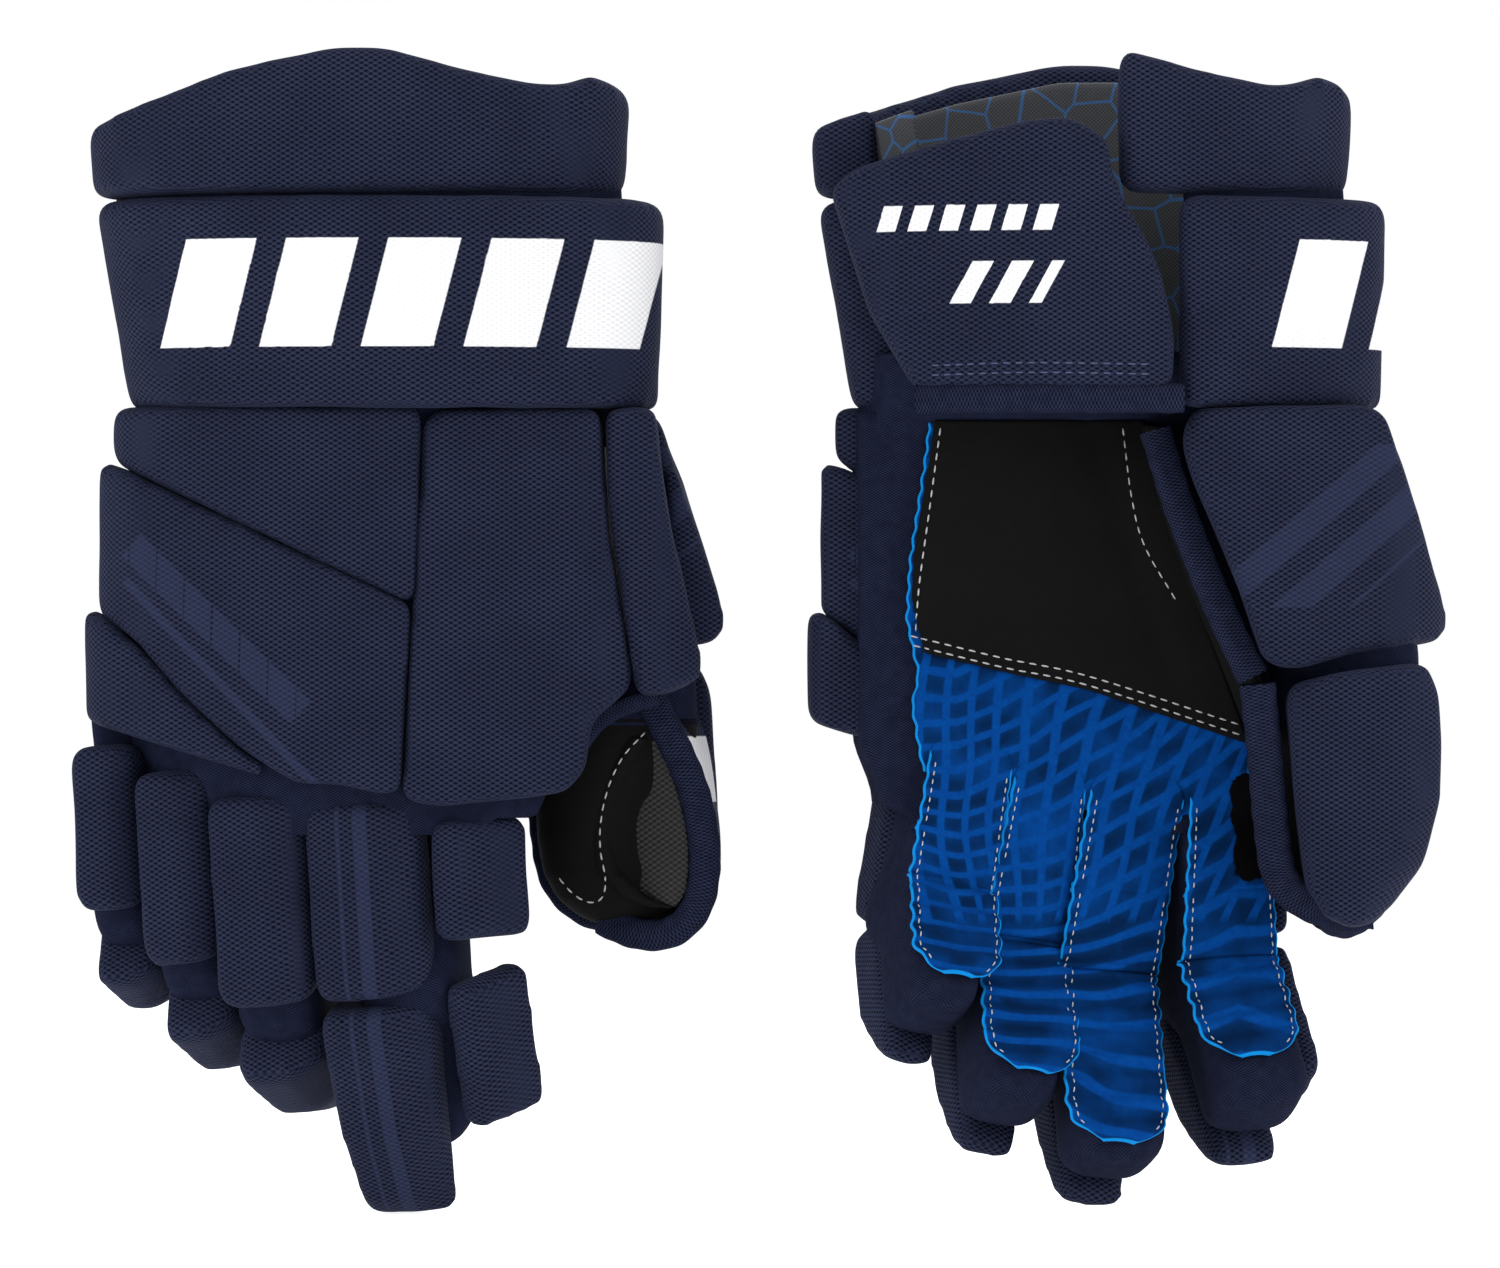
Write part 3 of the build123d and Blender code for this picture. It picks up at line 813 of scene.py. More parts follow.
def rounded_section(width, height, count=12):
    """Points round a rounded rectangle, as (across, outward) pairs."""
    angles = np.linspace(0.0, 2.0 * math.pi, count, endpoint=False)
    across = np.sign(np.cos(angles)) * np.abs(np.cos(angles)) ** 0.6 * width / 2.0
    outwards = np.sign(np.sin(angles)) * np.abs(np.sin(angles)) ** 0.6 * height / 2.0
    return across, outwards


def unit(vectors):
    """Vectors scaled to length one."""
    return vectors / np.maximum(np.linalg.norm(vectors, axis=-1, keepdims=True), 1e-9)


def binding(glove, name, points, width, height, facing, body, spacing=2.2):
    """A ribbed fabric band along a line, its flat side facing a given way."""
    length = np.linalg.norm(np.diff(np.asarray(points, float), axis=0), axis=1).sum()
    count = max(6, int(length / spacing))
    path = glove.taper(curve(points, count))
    along = unit(np.gradient(path, axis=0))
    side = unit(np.cross(along, np.broadcast_to(facing, along.shape)))
    out = np.cross(side, along)
    across, outwards = rounded_section(width, height)
    puff = 1.0 + 0.05 * np.sin(np.arange(count) * 1.9)
    rows = path[:, None] + side[:, None] * across[None, :, None] * puff[:, None, None]
    rows = rows + out[:, None] * outwards[None, :, None]
    faces = grid_faces(count, len(across), True)
    last = (count - 1) * len(across)
    faces.append(tuple(range(len(across))))
    faces.append(tuple(reversed(range(last, last + len(across)))))
    piece = finish_piece(name, glove, rows.reshape(-1, 3), faces, BINDING)
    reach = np.repeat(np.linspace(0.0, length, count), len(across))
    ring = np.tile(np.arange(len(across)) * 0.9, count)
    store(piece.data, "cloth", np.stack([reach, np.zeros_like(reach), ring], -1))
    store(piece.data, "grain", np.tile([0.0, 1.0, 0.0], (len(reach), 1)))
    return attach(piece, glove, body)


# ---------------------------------------------------------------- stitches

def capsule(first, second, out, radius):
    """One raised stitch between two points."""
    along = unit(second - first)
    side = unit(np.cross(along, out))
    rows = []
    for share, size in ((0.0, 0.3), (0.14, 0.9), (0.5, 1.1), (0.86, 0.9), (1.0, 0.3)):
        centre = first + (second - first) * share + out * radius * (0.2 + 0.5 * math.sin(share * math.pi))
        for step in range(5):
            angle = 2.0 * math.pi * step / 5
            rows.append(centre + (side * math.cos(angle) + out * math.sin(angle)) * radius * size)
    faces = grid_faces(5, 5, True)
    return np.array(rows), faces + [(0, 1, 2, 3, 4), (24, 23, 22, 21, 20)]


def stitches(glove, name, line, out, material, length=2.3, gap=1.5, radius=0.28):
    """A row of stitches along a fine line of drawing points, each raised the way `out` says."""
    reach = np.append(0.0, np.cumsum(np.linalg.norm(np.diff(line, axis=0), axis=1)))
    verts, faces = [], []
    for start in np.arange(0.0, reach[-1] - length, length + gap):
        ends = [[np.interp(at, reach, line[:, axis]) for axis in range(3)] for at in (start, start + length)]
        up = unit(np.array([np.interp(start, reach, out[:, axis]) for axis in range(3)]))
        some, rings = capsule(np.array(ends[0]), np.array(ends[1]), up, radius)
        faces += [tuple(i + len(verts) * len(some) for i in face) for face in rings]
        verts.append(some)
    return finish_piece(name, glove, np.concatenate(verts), faces, material, 0)


def laid_line(glove, pieces, points, palm, spacing=0.8):
    """Drop a line of (x, z) points onto pieces from the palm side or the back."""
    verts, faces = [], []
    for piece in pieces:
        some, rings = mesh_arrays(piece)
        faces += [tuple(i + len(verts) for i in face) for face in rings]
        verts += [Vector(v) for v in some]
    tree = BVHTree.FromPolygons(verts, faces)
    length = np.linalg.norm(np.diff(np.asarray(points, float), axis=0), axis=1).sum()
    toward = np.array([0.0, -1.0 if palm else 1.0, 0.0])
    line, out = [], []
    for x, z in curve(points, max(4, int(length / spacing))):
        start = glove.world([x, -120.0 * toward[1], z])
        hit, normal, _, _ = tree.ray_cast(Vector(start), Vector(toward * glove.flip))
        if hit is None:
            continue
        normal = np.array(normal) * glove.flip
        line.append(glove.drawing(np.array(hit)))
        out.append(normal if normal @ toward < 0.0 else -normal)
    return np.array(line), np.array(out)


def stitch_on(glove, name, pieces, points, palm, body, material, **sizes):
    """Stitches along (x, z) points on pieces that are already built."""
    line, out = laid_line(glove, pieces, points, palm)
    row = stitches(glove, glove.name(name), line, out, material, **sizes)
    attach(row, glove, body)


# ---------------------------------------------------------------- palm

PALM_LEFT = [(243.0, -60.5), (233.0, -61.5), (197.0, -66.5), (178.0, -67.5), (160.0, -64.0), (150.0, -66.0),
             (136.0, -64.0), (118.0, -60.5)]
PALM_RIGHT = [(243.0, 6.0), (216.0, 14.0), (187.0, 25.0), (160.0, 37.5), (136.0, 38.0), (118.0, 39.0)]
PATCH_BOTTOM = [(-67.0, 173.5), (-38.0, 166.5), (-12.0, 161.0), (37.0, 144.5)]
STRIP_FRONT = 4.8  # how far in front of a finger's palm-side line its strip lies


class Palm:
    """The cupped palm surface of one glove, which meets each finger at its knuckle."""

    def __init__(self, fingers):
        spots = sorted((finger.knuckle[0], finger.knuckle[1] + STRIP_FRONT + 0.8, finger.knuckle[2])
                       for finger in fingers.values())
        self.x = [spot[0] for spot in spots]
        self.depths = [spot[1] for spot in spots]
        self.lows = [(spots[-1][0], spots[-1][2] - 2.0)]
        for spot, beside in zip(spots, spots[1:]):
            slit = ((spot[0] + beside[0]) / 2.0, (spot[2] + beside[2]) / 2.0 - 5.0)
            self.lows += [(spot[0], spot[2] - 2.0), slit]
        self.lows.sort()

    def depth(self, x, z):
        reach = np.interp(x, self.x, self.depths) - 17.0
        return 17.0 + reach * ease((190.0 - z) / 58.0)

    def bottom(self, x):
        return np.interp(x, [low[0] for low in self.lows], [low[1] for low in self.lows])


def build_palm(glove, palm):
    """The blue suede over the palm, down to the four slits between the fingers."""
    rows, columns = 84, 54
    share = np.linspace(0.0, 1.0, columns)
    points, rims = [], []
    for step in np.linspace(0.0, 1.0, rows):
        guess = 243.0 - step * 115.0
        left = interpolate(PALM_LEFT, guess) - scallop(guess)
        right = interpolate(PALM_RIGHT, guess)
        x = left + (right - left) * share
        z = 243.0 + (palm.bottom(x) - 243.0) * step
        points.append(np.stack([x, palm.depth(x, z), z], -1))
        rims.append(np.minimum(x - left, right - x))
    verts = np.concatenate(points)
    wrinkle = np.array([noise.noise(Vector(v) * 0.05) for v in verts]) * 1.1
    verts[:, 1] += wrinkle * ease((190.0 - verts[:, 2]) / 30.0) * ease((verts[:, 2] - 132.0) / 16.0)
    sheet = finish_piece(glove.name("palm_suede"), glove, verts, grid_faces(rows, columns), BLUE, 1, 1.2)
    write_rim(sheet, np.concatenate(rims))
    return attach(sheet, glove, "hand", "palm")


def write_rim(piece, distance):
    """Store how far each point is from the cut edge, for the bright line along it."""
    store(piece.data, "rim", np.stack([distance] * 3, -1))


def scallop(positions, depth=0.9, period=6.5):
    """A hand-cut wavy edge."""
    return depth * np.abs(np.sin(np.asarray(positions) * math.pi / period)) - depth * 0.5


def build_patch(glove, palm):
    """The black suede over the heel of the palm, cut slanting along its lower edge."""
    rows, columns = 50, 46
    share = np.linspace(0.0, 1.0, columns)
    points = []
    for step in np.linspace(0.0, 1.0, rows):
        guess = 243.5 - step * 85.0
        left = interpolate(PALM_LEFT, guess) + 1.6
        right = interpolate(PALM_RIGHT, guess) - 0.5
        x = left + (right - left) * share
        bottom = interpolate(PATCH_BOTTOM, x)
        z = 243.5 + (bottom - 243.5) * step
        crease = 0.72 * np.exp(-((x + z * 0.32 - 66.0) / 5.0) ** 2)
        points.append(np.stack([x, palm.depth(x, z) + 1.6 - crease, z], -1))
    verts = np.concatenate(points)
    faces = grid_faces(rows, columns)
    patch = finish_piece(glove.name("palm_patch_suede"), glove, verts, faces, BLACK, 1, 1.3)
    return attach(patch, glove, "hand", "palm_patch")


def stitch_palm(glove, sheet, patch):
    """Pale stitch lines round the heel patch."""
    lines = {
        "palm_side_stitches": [(-57.0, 241.0), (-60.5, 215.0), (-63.5, 193.0), (-64.5, 179.0)],
        "palm_thumb_stitches": [(-1.2, 241.0), (1.5, 220.0), (5.5, 205.0), (15.0, 188.5)],
        "palm_upper_stitches": [(-66.0, 177.5), (-38.4, 170.8), (-11.8, 165.2), (35.0, 150.2)],
        "palm_lower_stitches": [(-66.0, 174.8), (-38.4, 168.0), (-11.8, 162.4), (35.0, 147.2)],
    }
    for name, points in lines.items():
        stitch_on(glove, name, [sheet, patch], points, True, "hand", PALE_THREAD)


# ---------------------------------------------------------------- linings

def ring_point(angle, centre_x, half_x, half_y, front):
    """Points of an oval, flattened on the palm side at a given depth."""
    x = centre_x + half_x * np.cos(angle)
    y = half_y * np.sin(angle)
    return x, np.minimum(y, front)


def build_hand_base(glove, palm):
    """The knit layer under the pads, seen in the creases between them."""
    columns, count = 96, 34
    angles = np.linspace(0.0, 2.0 * math.pi, columns, endpoint=False)
    rows = []
    for share in np.linspace(0.0, 1.0, count):
        tuck = ease((share - 0.82) / 0.18)
        x, y = ring_point(angles, -12.0 + 1.0 * tuck, 71.0 - 5.0 * tuck, 36.0 - 3.0 * tuck, 14.0)
        bottom = 117.0 + 5.0 * ease((x - 24.0) / 4.0) + 36.0 * ease((x - 40.0) / 14.0)
        bottom = bottom + 10.0 * ease((-x - 55.0) / 25.0)
        z = 246.0 + (bottom - 246.0) * share
        y = np.where(y > 9.0, np.maximum(y, palm.depth(x, z) - 3.0), y)
        rows.append(np.stack([x, y, z], -1))
    verts = np.concatenate(rows)
    faces = grid_faces(count, columns, True)
    base = finish_piece(glove.name("hand_lining"), glove, verts, faces, KNIT, 0, 1.5)
    attach(base, glove, "hand", "hand_shell")


def build_wrist_gusset(glove):
    """Soft fabric from the hand up into the cuff, over the wrist fold."""
    columns, count = 96, 18
    angles = np.linspace(0.0, 2.0 * math.pi, columns, endpoint=False)
    rows = []
    for share in np.linspace(0.0, 1.0, count):
        z = 238.0 + 26.0 * share
        grow = ease(share)
        x, y = ring_point(angles, -9.0 + 3.0 * grow, 73.0 + 1.0 * grow, 36.0 + 6.0 * grow, 14.0 + 27.0 * grow)
        rows.append(np.stack([x, y, np.full(columns, z)], -1))
    verts = np.concatenate(rows)
    faces = grid_faces(count, columns, True)
    gusset = finish_piece(glove.name("wrist_gusset"), glove, verts, faces, KNIT, 1, 1.2)
    start, end = glove.world([[-5.0, -30.0, 240.0], [-5.0, -30.0, 256.0]])
    glove.name("hand")
    glove.name("cuff")
    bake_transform(gusset)


def build_cuff_liner(glove):
    """The printed lining inside the cuff, open on the palm side under the flap."""
    columns, count = 90, 24
    angles = np.linspace(math.radians(-218.0), math.radians(58.0), columns)
    top = [(-98.0, 322.0), (-80.0, 334.0), (-51.0, 343.0), (-19.0, 350.0), (0.0, 350.0), (42.0, 341.0),
           (75.0, 340.0)]
    rows = []
    for share in np.linspace(0.0, 1.0, count):
        half_x = 61.5 + 4.0 * share
        half_y = 31.5 + 5.5 * share
        x = -4.0 - 9.5 * share + half_x * np.cos(angles)
        y = half_y * np.sin(angles)
        crest = interpolate(top, x)
        z = 252.0 + (crest - 252.0) * share
        rows.append(np.stack([x, y, z], -1))
    verts = np.concatenate(rows)
    liner = finish_piece(glove.name("cuff_lining"), glove, verts, grid_faces(count, columns), LINER, 1, 1.5)
    attach(liner, glove, "cuff")


def build_cuff_core(glove):
    """The knit layer between the cuff's pads, seen in the seam between band and top roll."""
    columns, count = 100, 20
    angles = np.linspace(math.radians(-192.0), math.radians(70.0), columns)
    rows = []
    for share in np.linspace(0.0, 1.0, count):
        z = 250.0 + 84.0 * share
        half_x = 73.5 + 3.5 * share
        half_y = 43.5 + 4.0 * share
        rows.append(np.stack([-3.0 - 9.0 * share + half_x * np.cos(angles), half_y * np.sin(angles),
                              np.full(columns, z)], -1))
    verts = np.concatenate(rows)
    core = finish_piece(glove.name("cuff_core"), glove, verts, grid_faces(count, columns), KNIT, 0, 2.0)
    attach(core, glove, "cuff")


def build_flap_trim(glove, pads):
    """The bound, double-stitched lower edge of the cuff flap."""
    angles = np.linspace(math.radians(134.0), math.radians(78.0), 14)
    points = [(-2.5 + 88.0 * math.cos(angle), 53.0 * math.sin(angle), 249.5) for angle in angles]
    binding(glove, glove.name("flap_binding"), points, 9.5, 7.0, (0.0, 1.0, 0.0), "flap")
    for row, z in (("upper", 259.5), ("lower", 256.6)):
        line = [(-60.0, z), (-30.0, z + 0.6), (8.0, z)]
        stitch_on(glove, "flap_" + row + "_stitches", [pads["cuff_flap"]], line, True, "flap", NAVY_THREAD)


# ---------------------------------------------------------------- fingers

TUBES = {  # knit tube of each finger: width, offset across, length past the middle joint
    "right": {"index": (30.0, 8.0, 56.0), "middle": (26.0, 0.0, 55.0), "ring": (21.5, 0.0, 55.0),
              "little": (18.5, 0.0, 44.0)},
    "left": {"index": (30.0, 1.0, 54.0), "middle": (29.0, 0.0, 63.5), "ring": (26.0, 0.0, 57.0),
             "little": (24.0, 0.0, 46.0)},
}
STRIPS = {  # palm strip of each finger: (from, to) across at the knuckle and at the end, and length
    "right": {"index": ((-4.0, 19.0), (-3.0, 19.0), 97.0), "middle": ((-14.0, 14.0), (-14.0, 14.0), 104.0),
              "ring": ((-12.0, 12.0), (-12.0, 12.0), 96.0), "little": ((-10.5, 10.5), (-10.5, 10.5), 78.0)},
    "left": {"index": ((-13.0, 13.0), (-20.5, 12.5), 97.0), "middle": ((-14.5, 16.5), (-22.0, 11.5), 119.0),
             "ring": ((-11.5, 12.5), (-16.0, 16.0), 103.0), "little": ((-14.0, 13.5), (-14.0, 15.5), 83.0)},
}
STRIP_TUCK = 1.4  # how far a strip's part sinks where it meets the other
JOINT_BULGE = 12.0  # how far the knit stands out over the middle joint, between the two rolls


def tube_section(width, back, front, count=28):
    """A rounded-rectangle section across a finger, as (across, depth) pairs."""
    across, depth = rounded_section(width, front - back, count)
    return across, depth + (front + back) / 2.0


def finger_tube(glove, finger, name, stations, sizes):
    """A knit tube along a finger, with a size share at each station."""
    width, offset, _ = TUBES[glove.side][finger.key]
    rows = []
    for down, size in zip(stations, sizes):
        fold = JOINT_BULGE * math.exp(-((down - finger.first) / 9.0) ** 2)
        back = -30.0 * size - 6.0 * (1.0 - size) - fold
        front = 3.4 - 9.0 * (1.0 - size) - 9.0 * float(ease(-down / 8.0))
        across, depth = tube_section(width * size + 0.12 * fold, back, front)
        centre = offset * float(ease(1.3 - np.abs(down - finger.first) / 60.0))
        rows.append(finger.point(across + centre, depth, np.full_like(across, down)))
    faces = grid_faces(len(rows), len(rows[0]), True)
    if sizes[-1] < 1.0:
        last = (len(rows) - 1) * len(rows[0])
        faces.append(tuple(range(last, last + len(rows[0]))))
    return finish_piece(name, glove, np.concatenate(rows), faces, KNIT, 1, 0.0, finger.near)


def blend_knuckle(glove, finger, piece):
    """Fix a piece over the finger's knuckle in place, baking its placing into its mesh."""
    start, end = glove.world(finger.point(np.zeros(2), np.full(2, -10.0), np.array([-6.0, 7.0])))
    glove.name("hand")
    glove.name(finger.key + "_proximal")
    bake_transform(piece)


def blend_middle(glove, finger, piece):
    """Fix a piece over the finger's middle joint in place, baking its placing into its mesh."""
    down = finger.first + np.array([-9.0, 9.0])
    start, end = glove.world(finger.point(np.zeros(2), np.full(2, -20.0), down))
    near, far = glove.name(finger.key + "_proximal"), glove.name(finger.key + "_distal_part")
    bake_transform(piece)


def build_finger_gussets(glove, finger):
    """A finger's two knit tubes: one over the knuckle, one over the middle joint."""
    reach = finger.first + TUBES[glove.side][finger.key][2]
    upper = np.arange(-14.0, finger.first / 2 + 3.0, 2.5)
    tube = finger_tube(glove, finger, glove.name(finger.key + "_knuckle_gusset"), upper, np.ones(len(upper)))
    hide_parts(glove.name(finger.key + "_proximal_sleeve"))
    blend_knuckle(glove, finger, tube)
    lower = np.append(np.arange(finger.first / 2, reach - 8.0, 2.5), reach - np.array([6.0, 3.0, 1.0, 0.0]))
    sizes = np.append(np.ones(len(lower) - 4), [0.93, 0.78, 0.55, 0.3])
    tube = finger_tube(glove, finger, glove.name(finger.key + "_tip_gusset"), lower, sizes)
    blend_middle(glove, finger, tube)


class Strip:
    """The length of palm suede that runs down one finger."""

    def __init__(self, glove, finger, palm):
        self.near_edges, self.end_edges, self.length = STRIPS[glove.side][finger.key]
        self.finger = finger
        self.palm = palm

    def edges(self, down):
        part = np.clip(down / 60.0, 0.0, 1.0)
        left = self.near_edges[0] + (self.end_edges[0] - self.near_edges[0]) * part
        right = self.near_edges[1] + (self.end_edges[1] - self.near_edges[1]) * part
        past = np.clip((down - self.length + 11.0) / 11.0, 0.0, 1.0)
        half = (right - left) / 2.0 * np.maximum(0.3, np.sqrt(1.0 - past ** 2))
        half = half - 5.5 * (1.0 - ease((down + 13.0) / 12.0))  # hidden under the palm's edge
        return (left + right) / 2.0 - half, (left + right) / 2.0 + half

    def point(self, side, down, lift=0.0, wavy=True):
        """Drawing points, from side -1 at the left edge to 1 at the right."""
        side, down = np.broadcast_arrays(np.asarray(side, float), np.asarray(down, float))
        left, right = self.edges(down)
        cut = ease(down / 6.0) * (scallop(down) if wavy else 0.0)
        half = (right - left) / 2.0 + cut
        across = (left + right) / 2.0 + half * side
        bulge = 1.6 * (1.0 - side ** 2)
        fold = 0.8 * np.sin(down * 2.0 * math.pi / 7.5 + across * 0.1)
        fold = fold * ease((down - self.finger.first * 0.55) / 25.0)
        points = self.finger.point(across, STRIP_FRONT + bulge + fold + lift, down)
        flush = self.palm.depth(points[..., 0], points[..., 2]) + lift
        flush = flush - 1.0 + 1.9 * ease((down + 13.0) / 11.0)
        share = ease((down + 1.0) / 12.0)
        points[..., 1] = flush * (1.0 - share) + points[..., 1] * share
        return points


def strip_sheet(glove, strip, name, stations, tuck_start=0.0, tuck_end=0.0):
    """Part of a strip; its first and last rows can sink, so that two parts meet without a step."""
    columns = 19
    side = np.linspace(-1.0, 1.0, columns)
    rows, rims = [], []
    for down in stations:
        left, right = strip.edges(down)
        under = -tuck_start * float(ease(1.0 - (down - stations[0]) / 2.2))
        under -= tuck_end * float(ease(1.0 - (stations[-1] - down) / 2.2))
        rows.append(strip.point(side, np.full(columns, down), under))
        inwards = (1.0 - np.abs(side)) * (right - left) / 2.0
        rims.append(np.minimum(inwards, strip.length - down) + 3.0 * float(ease(-down / 4.0)))
    sheet = finish_piece(name, glove, np.concatenate(rows), grid_faces(len(rows), columns), BLUE, 1, 1.2,
                         strip.finger.near)
    write_rim(sheet, np.concatenate(rims))
    return sheet


def strip_stitches(glove, strip, name, first, last):
    """Pale stitches just inside both edges of a strip, between two distances down."""
    down = np.linspace(first, last, 60)
    lines = []
    for side in (-0.86, 0.86):
        line = strip.point(np.full(60, side), down, 0.9, False)
        out = np.tile(strip.finger.near[1], (60, 1))
        lines.append((line, out))
    rows = [stitches(glove, name + "_" + place, line, out, PALE_THREAD, 1.6, 1.3, 0.22)
            for place, (line, out) in zip(("a", "b"), lines)]
    return rows


def build_strips(glove, finger, palm):
    """A finger's palm strip in two parts, one over each joint, and its stitches."""
    key = finger.key
    strip = Strip(glove, finger, palm)
    half = finger.first / 2
    overlap = np.array([0.1, 0.6, 1.1, 1.6])  # rows past the half way line, where the two parts cross
    upper = np.append(np.arange(-13.0, half, 1.2), half + overlap)
    sheet = strip_sheet(glove, strip, glove.name(key + "_palm_strip"), upper, 0.0, STRIP_TUCK)
    blend_knuckle(glove, finger, sheet)
    lower = np.append(np.arange(half + 0.9, strip.length - 0.2, 1.2), [strip.length])
    lower = np.append(half - overlap[::-1], lower)
    sheet = strip_sheet(glove, strip, glove.name(key + "_tip_strip"), lower, STRIP_TUCK)
    blend_middle(glove, finger, sheet)
    for row in strip_stitches(glove, strip, glove.name(key + "_strip_stitches"), 2.0, half):
        blend_knuckle(glove, finger, row)
    end = strip.length - 3.5
    for row in strip_stitches(glove, strip, glove.name(key + "_tip_stitches"), half + 2.0, end):
        blend_middle(glove, finger, row)


# ---------------------------------------------------------------- thumb

# Edges of the thumb, as lines through a few drawing points
THUMB_EDGE = [(8.0, 36.0, 240.0), (15.5, 38.0, 216.0), (27.0, 39.0, 187.0), (37.5, 38.0, 165.0)]
TIP_EDGE = [(39.0, 37.0, 163.0), (41.5, 35.0, 141.0), (43.5, 33.0, 120.0), (46.5, 31.0, 103.0),
            (54.0, 29.0, 94.0), (64.0, 28.0, 90.5), (76.0, 26.0, 89.0), (86.0, 25.0, 90.5)]
RIM = [(76.5, -1.0, 157.5), (81.5, -2.0, 148.0), (86.8, -3.0, 137.0), (90.3, -3.0, 127.0),
       (92.6, -3.0, 115.0), (92.8, -3.0, 104.5), (90.8, -2.0, 95.0), (86.0, -1.0, 88.5),
       (79.5, 1.0, 85.5), (71.0, 5.0, 86.0), (62.0, 11.0, 89.5)]


def build_thumb_web(glove):
    """Black suede between the palm's edge and the thumb, over the place where the thumb swings."""
    hand_edge = [(2.0, 15.5, 243.0), (9.0, 16.0, 216.0), (20.0, 16.5, 187.0), (32.0, 17.0, 160.0),
                 (37.0, 16.0, 146.0)]
    thumb_edge = [(11.0, 35.0, 241.0), (18.0, 37.0, 216.0), (29.0, 38.0, 187.0), (40.0, 37.0, 164.0),
                  (44.0, 34.0, 148.0)]
    verts, faces = between_curves(hand_edge, thumb_edge, 50, 14, -3.0)
    web = finish_piece(glove.name("thumb_web"), glove, verts, faces, BLACK, 1, 1.2)
    start, end = glove.world([[20.0, 18.0, 195.0], [22.0, 34.0, 195.0]])
    glove.name("hand")
    glove.name("thumb_base")
    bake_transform(web)


def build_thumb_sleeve(glove):
    """The suede tube of the thumb: a joint piece where the thumb swings, and the closed end."""
    # height, middle across, half width, middle depth, half depth
    sections = [(176.0, 66.0, 22.0, 16.0, 14.0), (166.0, 67.0, 23.0, 14.5, 15.0),
                (156.0, 67.0, 23.5, 13.5, 16.5), (145.0, 66.5, 24.0, 13.0, 16.5),
                (130.0, 65.0, 24.5, 12.5, 16.5), (115.0, 65.5, 24.5, 12.5, 16.0),
                (104.0, 66.5, 23.5, 13.0, 15.0), (96.0, 68.0, 20.5, 13.5, 13.0),
                (90.0, 70.0, 15.0, 14.0, 9.5), (87.5, 71.0, 8.0, 14.0, 5.0)]
    heights = np.array([section[0] for section in sections])
    angles = np.linspace(0.0, 2.0 * math.pi, 48, endpoint=False)

    def tube(stations):
        rows = []
        for z in stations:
            centre, half, middle, deep = [np.interp(z, heights[::-1], [s[i] for s in sections][::-1])
                                          for i in (1, 2, 3, 4)]
            x = centre + half * np.sign(np.cos(angles)) * np.abs(np.cos(angles)) ** 0.8
            y = middle + deep * np.sin(angles)
            hollow = 7.0 * np.exp(-((x - 72.0) / 6.0) ** 2 - ((z - 118.0) / 17.0) ** 2) * (np.sin(angles) < 0)
            rows.append(np.stack([x, y + hollow, np.full_like(x, z)], -1))
        return np.concatenate(rows), grid_faces(len(rows), len(angles), True)

    verts, faces = tube(np.linspace(152.0, 87.5, 36))
    verts = glove.taper(verts)
    faces.append(tuple(range(len(verts) - len(angles), len(verts))))
    lining = finish_piece(glove.name("thumb_lining"), glove, verts, faces, BLACK)
    attach(lining, glove, "thumb_tip", "thumb_sleeve")
    verts, faces = tube(np.linspace(178.0, 150.0, 16))
    gusset = finish_piece(glove.name("thumb_gusset"), glove, verts, faces, KNIT)
    start, end = glove.world([[70.0, 15.0, 174.0], [70.0, 15.0, 156.0]])
    glove.name("thumb_base")
    glove.name("thumb_tip")
    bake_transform(gusset)
    return lining


def build_thumb_window(glove):
    """The mesh seen inside the thumb from the back, behind a torn-looking suede edge."""
    inner = [(74.0, 0.5, 145.0), (69.0, 4.5, 136.0), (66.0, 7.0, 126.0), (65.0, 7.5, 117.0),
             (67.0, 6.0, 107.0), (72.0, 2.5, 100.0), (79.0, 0.0, 95.5)]
    outer = [(77.5, -1.5, 146.0), (81.5, -2.5, 138.0), (85.0, -3.0, 128.0), (87.5, -3.0, 117.0),
             (88.0, -3.0, 107.0), (87.0, -2.5, 99.0), (84.0, -1.5, 94.0)]
    verts, faces = between_curves(inner, outer, 40, 16, -1.0)
    window = finish_piece(glove.name("thumb_mesh"), glove, glove.taper(verts), faces, MESH, 1, 0.8)
    attach(window, glove, "thumb_tip")
    ragged = curve([(75.5, -2.0, 146.0), (70.0, -1.5, 136.5), (65.2, -1.2, 126.0), (63.8, -1.2, 117.5),
                    (65.3, -1.5, 107.5), (70.5, -1.5, 100.5), (77.5, -1.5, 96.0), (84.0, -1.5, 94.0)], 70)
    ragged = ragged + np.array([[noise.noise(Vector(p) * 0.35) * 0.9, 0.0, noise.noise(Vector(p) * 0.5) * 0.7]
                                for p in ragged])
    fold = ragged + np.array([-7.0, 1.5, 0.5])
    share = np.linspace(0.0, 1.0, 8)[None, :, None]
    verts = ragged[:, None] * (1.0 - share) + fold[:, None] * share
    verts[..., 1] -= 2.6 * np.sin(np.linspace(0.0, 1.0, 8) * math.pi)[None, :]
    verts = glove.taper(verts.reshape(-1, 3))
    lip = finish_piece(glove.name("thumb_suede_edge"), glove, verts, grid_faces(70, 8), BLACK, 1, 1.1)
    return attach(lip, glove, "thumb_tip")


